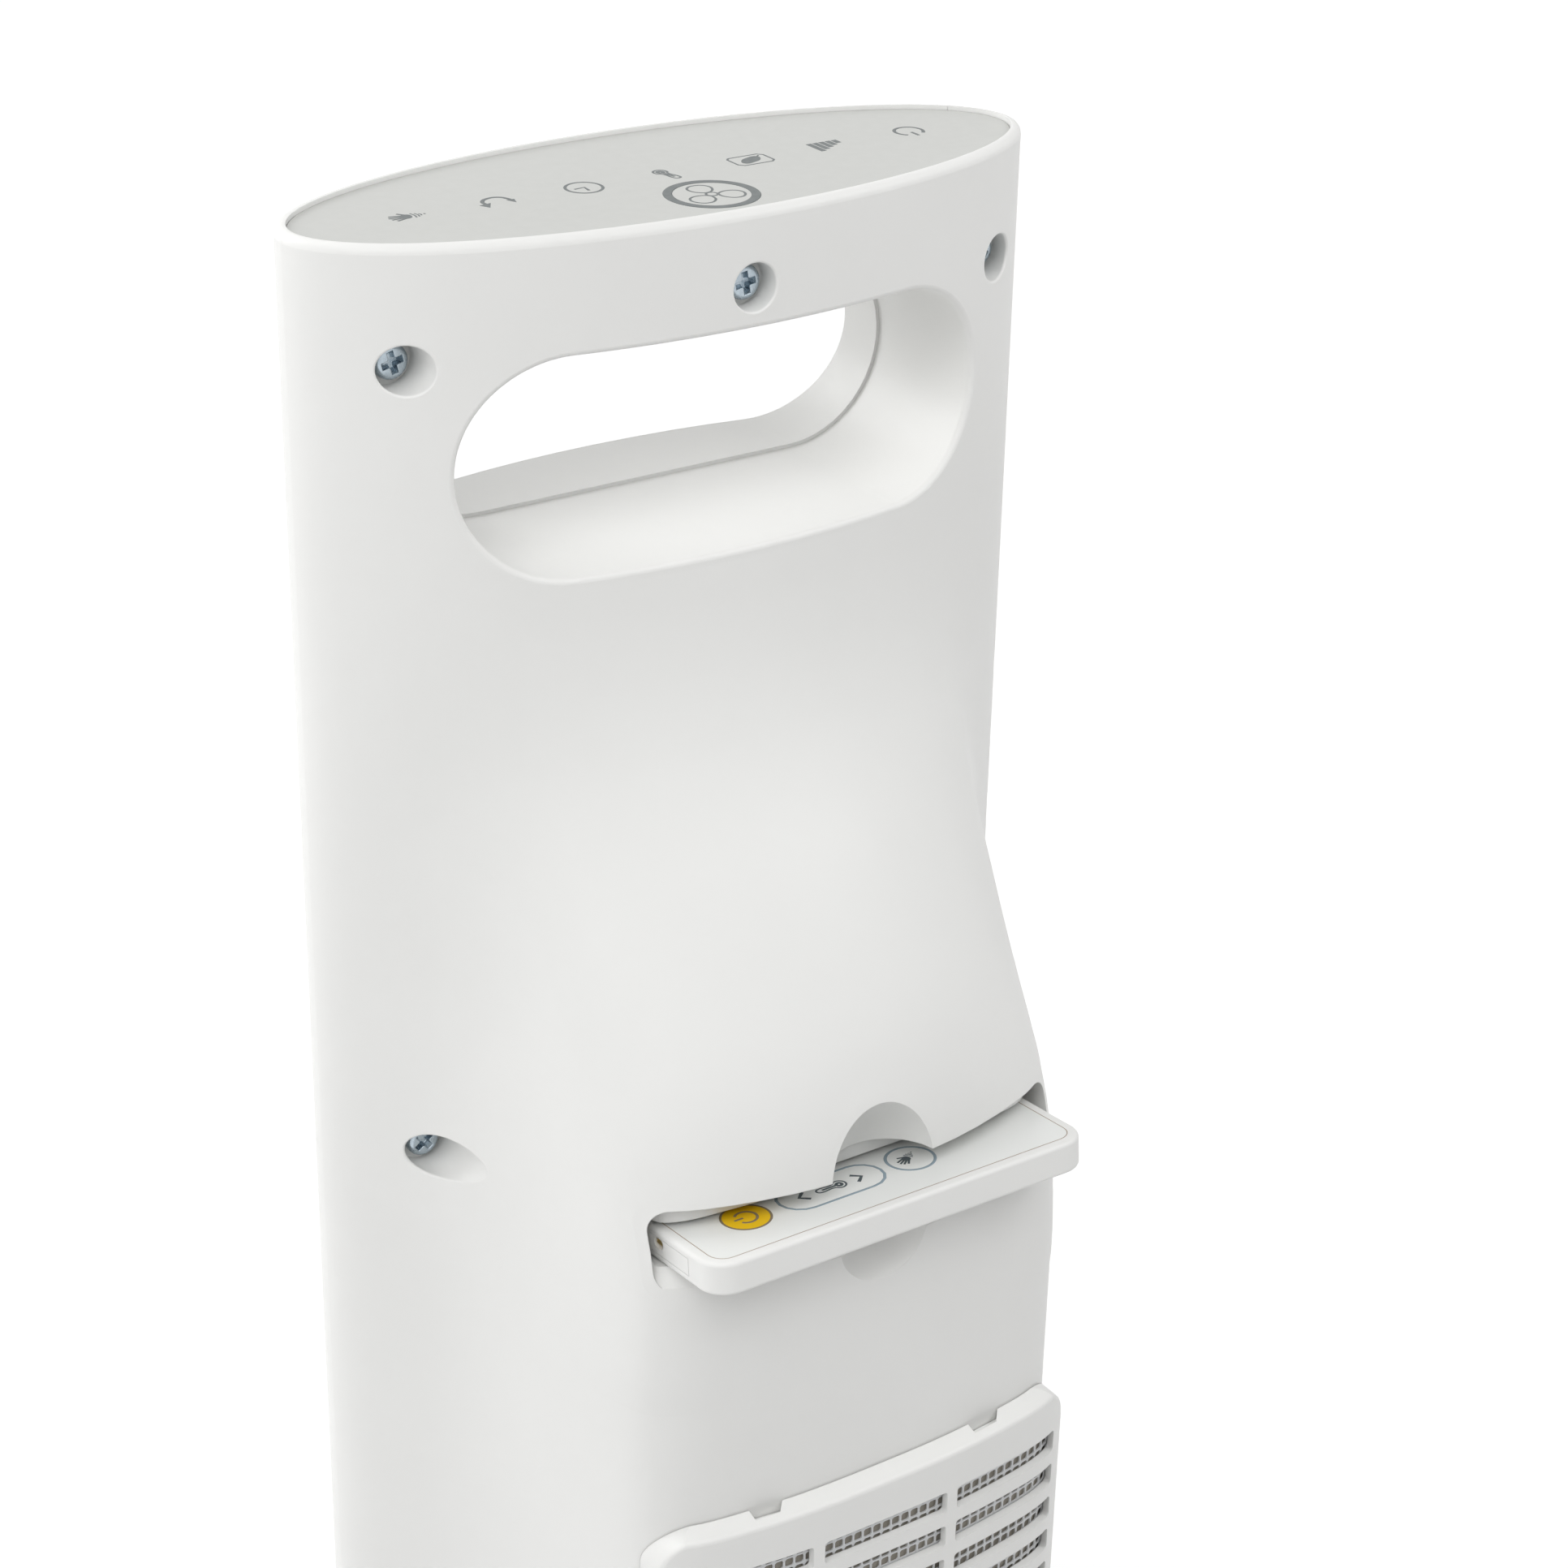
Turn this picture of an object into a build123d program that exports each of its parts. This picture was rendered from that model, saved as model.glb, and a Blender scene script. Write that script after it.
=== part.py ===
from build123d import *
import math
import os

os.makedirs("parts", exist_ok=True)

# Millimetres. The origin is the centre of the base on the floor.
# The front of the heater, where the warm air leaves, faces -Y and +Z is up.

# Driving dimensions of the tower casing
heater_height = 621.0
lens_half_width = 95.0
lens_half_depth = 36.0
lens_y = -29.0
hump_depth = 97.0
hump_top = 545.0
hump_full = 360.0
shell_wall = 2.5
seam_offset = 12.0
seam_y = lens_y - seam_offset
rim_width = 2.7
rim_round = 2.0

# Driving dimensions of the base
base_radius = 106.0
base_height = 30.0
tower_gap = 4.0
tower_bottom = base_height + tower_gap

# Clearances and the overrun that all cuts share
overrun = 20.0
running_gap = 0.3
shaft_gap = 0.05
fit_gap = 0.1

crown_y = lens_y + hump_depth

# Half of the rear outline, as shares of the casing's half width and of the swelling's depth
hump_profile_shares = [
    (0.0, 0.983),
    (0.21, 0.979),
    (0.42, 0.958),
    (0.547, 0.928),
    (0.611, 0.882),
    (0.642, 0.82),
    (0.684, 0.655),
    (0.737, 0.457),
    (0.8, 0.307),
    (0.874, 0.202),
    (0.947, 0.119),
]
corner_x_share = 0.611

# How far the swelling has grown: share of the way down, share at the crown, share at the corner
growth_shares = [
    (0.0, 0.0, 0.0),
    (0.054, 0.0, 0.0),
    (0.162, 0.05, 0.02),
    (0.27, 0.19, 0.09),
    (0.378, 0.425, 0.235),
    (0.486, 0.67, 0.43),
    (0.595, 0.88, 0.63),
    (0.703, 0.975, 0.835),
    (0.811, 1.0, 0.955),
    (0.919, 1.0, 1.0),
    (1.0, 1.0, 1.0),
]


def plane_y(y):
    """Upright plane at y that faces the front, with x to the right and z up."""
    return Plane.XZ.offset(-y)


def rear_outline(crown_share, corner_share):
    """Points of the right half of the rear outline, from the crown outwards."""
    points = []
    for x_share, depth_share in hump_profile_shares:
        lens = lens_half_depth * math.sqrt(1 - x_share**2)
        blend = min(x_share / corner_x_share, 1) ** 2
        share = crown_share + (corner_share - crown_share) * blend
        depth = lens + share * (depth_share * hump_depth - lens)
        points.append((x_share * lens_half_width, depth))
    return points


def inset_outline(points, inset):
    """The same points, moved square to the outline by the inset."""
    first = (-points[1][0], points[1][1])
    around = [first] + points + [(lens_half_width, 0)]
    moved = []
    for before, here, after in zip(around, around[1:], around[2:]):
        run_x = after[0] - before[0]
        run_y = after[1] - before[1]
        length = math.hypot(run_x, run_y)
        moved.append((here[0] + inset * run_y / length, here[1] - inset * run_x / length))
    return moved


def section(level, crown_share, corner_share, inset):
    """Level section of the casing: the lens's front half and the rear outline."""
    right = inset_outline(rear_outline(crown_share, corner_share), inset)
    half_width = lens_half_width - inset
    left = [(-x, y) for x, y in reversed(right[1:])]
    rear = [(-half_width, 0)] + left + right + [(half_width, 0)]
    placed = [(x, y + lens_y) for x, y in rear]
    with BuildSketch(Plane.XY.offset(level)) as outline:
        with BuildLine():
            Spline(*placed, tangents=[(0, 1), (0, -1)], tangent_scalars=[1, 1])
            EllipticalCenterArc(
                (0, lens_y), half_width, lens_half_depth - inset, start_angle=180, arc_size=180
            )
        make_face()
    return outline.sketch


def casing_solid(inset, bottom, top):
    """Solid of the casing's shape between two levels, moved in by the inset."""
    fall = hump_top - hump_full
    levels = []
    for down_share, crown_share, corner_share in growth_shares:
        level = hump_top - down_share * fall
        levels.append(section(level, crown_share, corner_share, inset))
    with BuildPart() as solid:
        extrude(to_extrude=section(bottom, 1, 1, inset), amount=hump_full - bottom)
        loft(sections=levels)
        extrude(to_extrude=section(hump_top, 0, 0, inset), amount=top - hump_top)
    return solid.part


# Handle hole
handle_z = 569.0
handle_height = 50.9
handle_half_width = 68.3
handle_step = 0.8
sleeve_wall = 2.5
through_y = crown_y + overrun

# Top panel and the ledge that it lies on
panel_thickness = 2.5
panel_drop = 1.0
panel_gap = 0.2
ledge_width = 3.5
ledge_thickness = 3.0
panel_top = heater_height - panel_drop
panel_bottom = panel_top - panel_thickness
ledge_bottom = panel_bottom - ledge_thickness

# Casing screws
screw_x = 77.3
top_screw_z = 603.7
side_screw_z = 594.0
mid_screw_z = 404.0
low_screw_z = 84.0
recess_radius = 5.5
boss_radius = 7.5
seat_thickness = 3.0
post_radius = 4.5
shell_screw_radius = 2.0
shell_screw_length = 18.0
shell_head_radius = 4.0
shell_head_height = 2.6
top_seat_y = 0.5
side_seat_y = -17.2
mid_seat_y = -13.6
shell_screw_places = [(0, top_screw_z, top_seat_y)]
for side in (-1, 1):
    shell_screw_places.append((side * screw_x, side_screw_z, side_seat_y))
    shell_screw_places.append((side * screw_x, mid_screw_z, mid_seat_y))
    shell_screw_places.append((side * screw_x, low_screw_z, mid_seat_y))

# Remote control and the pocket that it lies in
handset_width = 105.0
handset_length = 40.0
handset_thickness = 8.0
handset_tilt = 6.0
handset_y = 75.5
handset_z = 403.8
handset_round = 7.0
pocket_top = 411.4
pocket_bottom = 392.0
pocket_half_width = 56.0
pocket_slope = 9.0
pocket_round = 5.0
pocket_wall = 2.0
cavity_side = 1.5
cavity_above = 1.2
cavity_behind = 2.0
upper_scoop_radius = 14.4
upper_scoop_rise = 19.0
upper_scoop_y = 67.6
upper_scoop_z = 409.0
bay_half_width = 20.0
bay_y = 51.5
lower_scoop_radius = 15.0
lower_scoop_y = 74.8
lower_scoop_z = 394.6
handset_plane = Plane(
    origin=(0, handset_y, handset_z),
    x_dir=(1, 0, 0),
    z_dir=(0, -math.sin(math.radians(handset_tilt)), math.cos(math.radians(handset_tilt))),
)

# Rear cover and its window
cover_bottom = 92.0
cover_top = 329.0
cover_half_width = 59.3
cover_round = 11.0
cover_proud = 5.6
cover_wall = 2.0
cover_fall = 1.6
hollow_margin = 4.5
hollow_side = 2.5
cover_z = (cover_bottom + cover_top) / 2
cover_height = cover_top - cover_bottom
window_margin = 9.0
window_round = 6.0
window_cut_y = 36.0
window_half_width = cover_half_width - window_margin
window_height = cover_height - 2 * window_margin
hollow_half_width = cover_half_width - hollow_side
hollow_height = cover_height - 2 * hollow_margin
slot_height = 6.2
slot_pitch = 10.1
slot_start = 12.4
rib_x = 19.5
rib_width = 3.2
outer_slot_x = 55.0
slot_round = 1.0
notch_x = 31.6
notch_y = 64.2
notch_half_width = 3.7
notch_slant = 2.6
notch_reach = 3.0
notch_depth = 3.0
cover_edge = 1.2

# The casing's rim is rounded by level sections that step inwards
rim_shares = [0.0, 0.25, 0.5, 0.75, 1.0]
rim_start = heater_height - rim_round
rim_levels = []
for turn_share in rim_shares:
    turn = math.radians(90 * turn_share)
    rim_inset = rim_round * (1 - math.cos(turn))
    rim_levels.append(section(rim_start + rim_round * math.sin(turn), 0, 0, rim_inset))

with BuildPart() as outer_body:
    add(casing_solid(0, tower_bottom, rim_start))
    loft(sections=rim_levels)
outer_casing = outer_body.part
inner_casing = casing_solid(shell_wall, tower_bottom - overrun, ledge_bottom)


def handset_tool(grow):
    """Everything that the pocket is open to, grown by a wall."""
    drop = grow * math.sqrt(2)
    slope = pocket_slope + grow
    slot_middle = (pocket_top + pocket_bottom) / 2
    with BuildPart() as core:
        low = section(pocket_bottom - drop, 1, 1, 0)
        high = section(pocket_bottom - drop + slope, 1, 1, slope)
        loft(sections=[low, high])
        extrude(to_extrude=high, amount=overrun + pocket_top - pocket_bottom)
    with BuildPart() as tool:
        with BuildSketch(plane_y(crown_y + overrun)):
            with Locations((0, slot_middle)):
                RectangleRounded(
                    2 * (pocket_half_width + grow),
                    pocket_top - pocket_bottom + 2 * grow,
                    pocket_round,
                )
        extrude(amount=2 * overrun + pocket_slope + lens_half_depth)
        add(core.part, mode=Mode.SUBTRACT)
        with BuildSketch(handset_plane.offset(-handset_thickness / 2 - running_gap - grow)):
            with Locations((0, (overrun - handset_length - cavity_behind - grow) / 2)):
                Rectangle(
                    handset_width + 2 * cavity_side + 2 * grow,
                    overrun + handset_length + cavity_behind + grow,
                )
        extrude(amount=handset_thickness + running_gap + cavity_above + 2 * grow)
        with BuildSketch(plane_y(crown_y + overrun)):
            with Locations((0, (pocket_top + handset_z) / 2)):
                Rectangle(2 * (bay_half_width + grow), pocket_top - handset_z + 2 * grow)
        extrude(amount=crown_y + overrun - bay_y + grow)
        with BuildSketch(plane_y(upper_scoop_y)):
            with Locations((0, upper_scoop_z)):
                Ellipse(upper_scoop_radius + grow, upper_scoop_rise + grow)
            with Locations((overrun, upper_scoop_z)):
                Rectangle(2 * overrun, 4 * overrun, mode=Mode.INTERSECT)
        revolve(axis=Axis((0, upper_scoop_y, 0), (0, 0, 1)))
        with Locations((0, lower_scoop_y, lower_scoop_z)):
            Sphere(lower_scoop_radius + grow)
    return tool.part


pocket_opening = handset_tool(0)
pocket_outside = handset_tool(pocket_wall)

# Whole casing before it is parted at the seam
with BuildPart() as casing:
    add(outer_casing)
    add(inner_casing, mode=Mode.SUBTRACT)
    with BuildSketch(Plane.XY.offset(ledge_bottom - overrun)):
        with Locations((0, lens_y)):
            Ellipse(
                lens_half_width - rim_width - ledge_width,
                lens_half_depth - rim_width - ledge_width,
            )
    extrude(amount=2 * overrun, mode=Mode.SUBTRACT)
    with BuildSketch(Plane.XY.offset(panel_bottom)):
        with Locations((0, lens_y)):
            Ellipse(lens_half_width - rim_width, lens_half_depth - rim_width)
    extrude(amount=overrun, mode=Mode.SUBTRACT)

# Rear half of the handle hole's sleeve
with BuildPart() as rear_sleeve:
    with BuildSketch(plane_y(through_y)):
        with Locations((0, handle_z)):
            SlotOverall(2 * (handle_half_width + sleeve_wall), handle_height + 2 * sleeve_wall)
    extrude(amount=through_y - seam_y)
    add(outer_casing, mode=Mode.INTERSECT)

# Bosses around the screw recesses, kept inside the casing
with BuildPart() as rear_bosses:
    for x, z, seat_y in shell_screw_places:
        with BuildSketch(plane_y(through_y)):
            with Locations((x, z)):
                Circle(boss_radius)
        extrude(amount=through_y - seat_y + seat_thickness)
    add(outer_casing, mode=Mode.INTERSECT)

# Walls of the remote control's pocket and scoops, moulded in one with the casing
with BuildPart() as pocket_walls:
    add(pocket_outside)
    add(outer_casing, mode=Mode.INTERSECT)

handle_edge = 1.2
recess_edge = 0.5
rim_touch = 0.02
rim_places = (0.1, 0.5, 0.9)
casing_skin = outer_casing.shells()[0]


def rim_edges(solid, x, z, half_width, half_height):
    """Edges where a hole that is round at its ends meets the casing's outside."""
    straight = half_width - half_height
    rims = []
    for edge in solid.edges():
        on_rim = True
        for share in rim_places:
            place = edge.position_at(share)
            aside = max(abs(place.X - x) - straight, 0)
            if abs(math.hypot(aside, place.Z - z) - half_height) > rim_touch:
                on_rim = False
            elif casing_skin.distance_to(Vertex(*place)) > rim_touch:
                on_rim = False
        if on_rim:
            rims.append(edge)
    return rims


# Rear half of the casing, moulded plastic
with BuildPart() as rear_shell:
    add(casing.part)
    split(bisect_by=plane_y(seam_y), keep=Keep.BOTTOM)
    add(rear_sleeve.part)
    add(rear_bosses.part)
    add(pocket_walls.part)
    with BuildSketch(plane_y(through_y)):
        with Locations((0, handle_z)):
            SlotOverall(2 * handle_half_width, handle_height)
    extrude(amount=through_y - seam_y, mode=Mode.SUBTRACT)
    for x, z, seat_y in shell_screw_places:
        with BuildSketch(plane_y(through_y)):
            with Locations((x, z)):
                Circle(recess_radius)
        extrude(amount=through_y - seat_y, mode=Mode.SUBTRACT)
        with BuildSketch(plane_y(seat_y)):
            with Locations((x, z)):
                Circle(shell_screw_radius + fit_gap)
        extrude(amount=seat_thickness, mode=Mode.SUBTRACT)
    add(pocket_opening, mode=Mode.SUBTRACT)
    with BuildSketch(plane_y(through_y)):
        with Locations((0, cover_z)):
            RectangleRounded(2 * window_half_width, window_height, window_round)
    extrude(amount=through_y - window_cut_y, mode=Mode.SUBTRACT)
    handle_rim = rim_edges(rear_shell.part, 0, handle_z, handle_half_width, handle_height / 2)
    fillet(handle_rim, radius=handle_edge)
    for x, z, seat_y in shell_screw_places:
        recess_rim = rim_edges(rear_shell.part, x, z, recess_radius, recess_radius)
        fillet(recess_rim, radius=recess_edge)
rear_shell.part.label = "rear_shell"
export_step(rear_shell.part, "parts/rear_shell.step")

# Front opening, display and movement sensor
outlet_half_width = 54.0
outlet_round = 8.0
outlet_thickness = 3.5
display_z = 486.0
display_width = 46.0
display_height = 24.0
display_round = 3.0
display_thickness = 2.2
sensor_z = 455.0
sensor_radius = 8.0
sensor_flange_radius = 10.5
sensor_flange_thickness = 1.5
sensor_proud = 2.0
sensor_round = 4.0
board_y = -30.6
board_thickness = 1.6
board_z = 485.0
board_width = 124.0
board_height = 90.0
standoff_x = 54.0
standoff_z = 37.0
standoff_radius = 3.0
front_cut = lens_half_depth + overrun

# Front half of the handle hole's sleeve, a step smaller than the rear one
with BuildPart() as front_sleeve:
    with BuildSketch(plane_y(seam_y)):
        with Locations((0, handle_z)):
            SlotOverall(
                2 * (handle_half_width - handle_step + sleeve_wall),
                handle_height - 2 * handle_step + 2 * sleeve_wall,
            )
    extrude(amount=front_cut)
    add(outer_casing, mode=Mode.INTERSECT)

# Posts that take the casing screws, and the power board's standoffs
with BuildPart() as front_posts:
    for x, z, seat_y in shell_screw_places:
        with BuildSketch(plane_y(seat_y - seat_thickness)):
            with Locations((x, z)):
                Circle(post_radius)
        extrude(amount=front_cut + seat_y - seam_y)
    with BuildSketch(plane_y(board_y)):
        with Locations((0, board_z)):
            with GridLocations(2 * standoff_x, 2 * standoff_z, 2, 2):
                Circle(standoff_radius)
    extrude(amount=front_cut)
    add(outer_casing, mode=Mode.INTERSECT)

# Front half of the casing, moulded plastic
with BuildPart() as front_shell:
    add(casing.part)
    split(bisect_by=plane_y(seam_y), keep=Keep.TOP)
    add(front_sleeve.part)
    add(front_posts.part)
    with BuildSketch(plane_y(seam_y)):
        with Locations((0, handle_z)):
            SlotOverall(2 * (handle_half_width - handle_step), handle_height - 2 * handle_step)
        with Locations((0, cover_z)):
            RectangleRounded(2 * outlet_half_width, cover_height, outlet_round)
        with Locations((0, display_z)):
            RectangleRounded(display_width, display_height, display_round)
        with Locations((0, sensor_z)):
            Circle(sensor_radius)
    extrude(amount=front_cut, mode=Mode.SUBTRACT)
    for x, z, seat_y in shell_screw_places:
        with BuildSketch(plane_y(seat_y - seat_thickness)):
            with Locations((x, z)):
                Circle(shell_screw_radius + fit_gap)
        extrude(amount=shell_screw_length, mode=Mode.SUBTRACT)
front_shell.part.label = "front_shell"
export_step(front_shell.part, "parts/front_shell.step")

# Oval touch panel in the top, and the touch sensing board stuck under it
touch_board_thickness = 1.6
touch_board_margin = 0.5
with BuildPart() as touch_panel:
    with BuildSketch(Plane.XY.offset(panel_bottom)):
        with Locations((0, lens_y)):
            Ellipse(
                lens_half_width - rim_width - panel_gap,
                lens_half_depth - rim_width - panel_gap,
            )
    extrude(amount=panel_thickness)
touch_panel.part.label = "touch_panel"
export_step(touch_panel.part, "parts/touch_panel.step")

touch_board_inset = rim_width + ledge_width + touch_board_margin
with BuildPart() as touch_board:
    with BuildSketch(Plane.XY.offset(panel_bottom - touch_board_thickness)):
        with Locations((0, lens_y)):
            Ellipse(lens_half_width - touch_board_inset, lens_half_depth - touch_board_inset)
    extrude(amount=touch_board_thickness)
touch_board.part.label = "touch_board"
export_step(touch_board.part, "parts/touch_board.step")


def slot_sketch(plane, outer_x, height):
    """Columns of level slots between two upright ribs, from the cover's top down."""
    count = int((cover_height - 2 * slot_start) / slot_pitch)
    inner_width = 2 * rib_x - rib_width
    side_width = outer_x - rib_x - rib_width / 2
    side_x = (outer_x + rib_x + rib_width / 2) / 2
    with BuildSketch(plane) as slots:
        for row in range(count):
            level = cover_top - slot_start - height / 2 - row * slot_pitch
            with Locations((0, level)):
                RectangleRounded(inner_width, height, slot_round)
            with Locations((-side_x, level), (side_x, level)):
                RectangleRounded(side_width, height, slot_round)
    return slots.sketch


def band(bottom, height, outer_inset, inner_inset):
    """Wall that follows the lower casing's outline between two insets."""
    outside = section(bottom, 1, 1, outer_inset).face()
    inside = section(bottom, 1, 1, inner_inset).face()
    ring = Face(outside.outer_wire(), [inside.outer_wire()])
    with BuildPart() as wall:
        extrude(to_extrude=ring, amount=height)
    return wall.part


def front_band(bottom, height, thickness):
    """Wall that follows the casing's oval front, flush with it."""
    with BuildPart() as wall:
        with BuildSketch(Plane.XY.offset(bottom)):
            with Locations((0, lens_y)):
                Ellipse(lens_half_width, lens_half_depth)
                Ellipse(lens_half_width - thickness, lens_half_depth - thickness, mode=Mode.SUBTRACT)
        extrude(amount=height)
    return wall.part


# Hollow behind the cover's bars, where the screen lies
with BuildPart() as cover_hollow:
    add(band(cover_bottom, cover_height, cover_wall - cover_proud, running_gap))
    with BuildSketch(plane_y(through_y)):
        with Locations((0, cover_z)):
            RectangleRounded(2 * hollow_half_width, hollow_height, window_round)
    extrude(amount=through_y - window_cut_y, mode=Mode.INTERSECT)

# Two finger notches in the cover's top, open to the casing only
with BuildPart() as cover_notches:
    add(band(cover_top - notch_depth, 2 * notch_depth, -notch_reach, running_gap))
    with BuildSketch(Plane.XY.offset(cover_top - notch_depth)):
        with Locations((-notch_x, notch_y), (notch_x, notch_y)):
            Polygon(
                (notch_half_width, -notch_reach),
                (notch_half_width, 2 * notch_reach),
                (notch_slant - notch_half_width, 2 * notch_reach),
                (-notch_half_width - 2 * notch_slant, -notch_reach),
                align=None,
            )
    extrude(amount=2 * notch_depth, mode=Mode.INTERSECT)

# Slotted rear cover that slides off backwards
with BuildPart() as filter_cover:
    extrude(to_extrude=section(cover_bottom, 1, 1, -cover_proud), amount=cover_height - cover_fall)
    loft(sections=[section(cover_top - cover_fall, 1, 1, -cover_proud), section(cover_top, 1, 1, 0)])
    extrude(
        to_extrude=section(cover_bottom - running_gap, 1, 1, -running_gap),
        amount=cover_height + 2 * running_gap,
        mode=Mode.SUBTRACT,
    )
    with BuildSketch(plane_y(through_y)):
        with Locations((0, cover_z)):
            RectangleRounded(2 * cover_half_width, cover_height, cover_round)
    extrude(amount=through_y - window_cut_y, mode=Mode.INTERSECT)
    extrude(
        to_extrude=slot_sketch(plane_y(through_y), outer_slot_x, slot_height),
        amount=through_y - window_cut_y,
        mode=Mode.SUBTRACT,
    )
    cover_skin = filter_cover.faces().filter_by(GeomType.EXTRUSION).sort_by(Axis.Y)[-1]
    fillet(cover_skin.outer_wire().edges(), radius=cover_edge)
    add(cover_hollow.part, mode=Mode.SUBTRACT)
    add(cover_notches.part, mode=Mode.SUBTRACT)
filter_cover.part.label = "filter_cover"
export_step(filter_cover.part, "parts/filter_cover.step")

# Fine mesh screen in a frame, held against the cover's bars
screen_thickness = 1.6
screen_seat = 0.05
screen_frame = 4.0
mesh_columns = 10
mesh_rows = 18
mesh_bar = 1.6
screen_half_width = hollow_half_width - running_gap
screen_height = hollow_height - 2 * running_gap
mesh_step_x = 2 * (screen_half_width - screen_frame) / mesh_columns
mesh_step_z = (screen_height - 2 * screen_frame) / mesh_rows
screen_outer_inset = cover_wall - cover_proud + screen_seat
with BuildPart() as filter_screen:
    add(band(cover_bottom, cover_height, screen_outer_inset, screen_outer_inset + screen_thickness))
    with BuildSketch(plane_y(through_y)):
        with Locations((0, cover_z)):
            RectangleRounded(2 * screen_half_width, screen_height, window_round)
    extrude(amount=through_y - window_cut_y, mode=Mode.INTERSECT)
    with BuildSketch(plane_y(through_y)):
        with Locations((0, cover_z)):
            with GridLocations(mesh_step_x, mesh_step_z, mesh_columns, mesh_rows):
                Rectangle(mesh_step_x - mesh_bar, mesh_step_z - mesh_bar)
    extrude(amount=through_y - window_cut_y, mode=Mode.SUBTRACT)
filter_screen.part.label = "filter_screen"
export_step(filter_screen.part, "parts/filter_screen.step")

# Slotted warm air outlet in the front casing
with BuildPart() as outlet_grille:
    add(front_band(cover_bottom, cover_height, outlet_thickness))
    with BuildSketch(plane_y(seam_y)):
        with Locations((0, cover_z)):
            RectangleRounded(
                2 * (outlet_half_width - fit_gap),
                cover_height - 2 * fit_gap,
                outlet_round - fit_gap,
            )
    extrude(amount=front_cut, mode=Mode.INTERSECT)
    extrude(
        to_extrude=slot_sketch(plane_y(seam_y), outlet_half_width - screen_frame, slot_height),
        amount=front_cut,
        mode=Mode.SUBTRACT,
    )
outlet_grille.part.label = "outlet_grille"
export_step(outlet_grille.part, "parts/outlet_grille.step")


def front_inner_y(x, inset):
    """Y of the casing's front wall at x, moved in by the inset."""
    half_width = lens_half_width - inset
    return lens_y - (lens_half_depth - inset) * math.sqrt(1 - (x / half_width) ** 2)


# Tinted window of the temperature display, and the display's board behind it
display_board_margin = 2.0
display_board_depth = 5.0
with BuildPart() as display_window:
    add(front_band(display_z - display_height / 2, display_height, display_thickness))
    with BuildSketch(plane_y(seam_y)):
        with Locations((0, display_z)):
            RectangleRounded(
                display_width - 2 * fit_gap,
                display_height - 2 * fit_gap,
                display_round - fit_gap,
            )
    extrude(amount=front_cut, mode=Mode.INTERSECT)
display_window.part.label = "display_window"
export_step(display_window.part, "parts/display_window.step")

display_board_half = display_width / 2 - display_board_margin
display_board_front = front_inner_y(display_board_half, display_thickness) + fit_gap
with BuildPart() as display_board:
    with BuildSketch(plane_y(display_board_front + display_board_depth)):
        with Locations((0, display_z)):
            Rectangle(2 * display_board_half, display_height - 2 * display_board_margin)
    extrude(amount=display_board_depth)
display_board.part.label = "display_board"
export_step(display_board.part, "parts/display_board.step")

# Movement sensor: a milky dome through the front casing, with a flange behind it
sensor_front = lens_y - lens_half_depth - sensor_proud
sensor_seat = front_inner_y(sensor_flange_radius, shell_wall) + fit_gap
with BuildPart() as motion_sensor:
    with BuildSketch(plane_y(sensor_seat + sensor_flange_thickness)):
        with Locations((0, sensor_z)):
            Circle(sensor_radius - fit_gap)
    extrude(amount=sensor_seat + sensor_flange_thickness - sensor_front)
    fillet(motion_sensor.faces().sort_by(Axis.Y)[0].edges(), radius=sensor_round)
    with BuildSketch(plane_y(sensor_seat + sensor_flange_thickness)):
        with Locations((0, sensor_z)):
            Circle(sensor_flange_radius)
    extrude(amount=sensor_flange_thickness)
motion_sensor.part.label = "motion_sensor"
export_step(motion_sensor.part, "parts/motion_sensor.step")

# Pan head screws with a cross recess
cross_length = 4.6
cross_width = 1.1
cross_depth = 1.5
head_rim = 1.4
head_taper = 35.0
with BuildPart() as shell_screws:
    for x, z, seat_y in shell_screw_places:
        with BuildSketch(plane_y(seat_y + head_rim)):
            with Locations((x, z)):
                Circle(shell_head_radius)
        extrude(amount=head_rim)
        with BuildSketch(plane_y(seat_y + head_rim)):
            with Locations((x, z)):
                Circle(shell_head_radius)
        extrude(amount=-(shell_head_height - head_rim), taper=head_taper)
        with BuildSketch(plane_y(seat_y)):
            with Locations((x, z)):
                Circle(shell_screw_radius)
        extrude(amount=shell_screw_length)
        with BuildSketch(plane_y(seat_y + shell_head_height)):
            with Locations((x, z)):
                Rectangle(cross_length, cross_width)
                Rectangle(cross_width, cross_length)
        extrude(amount=cross_depth, mode=Mode.SUBTRACT)
shell_screws.part.label = "shell_screws"
export_step(shell_screws.part, "parts/shell_screws.step")

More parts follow.
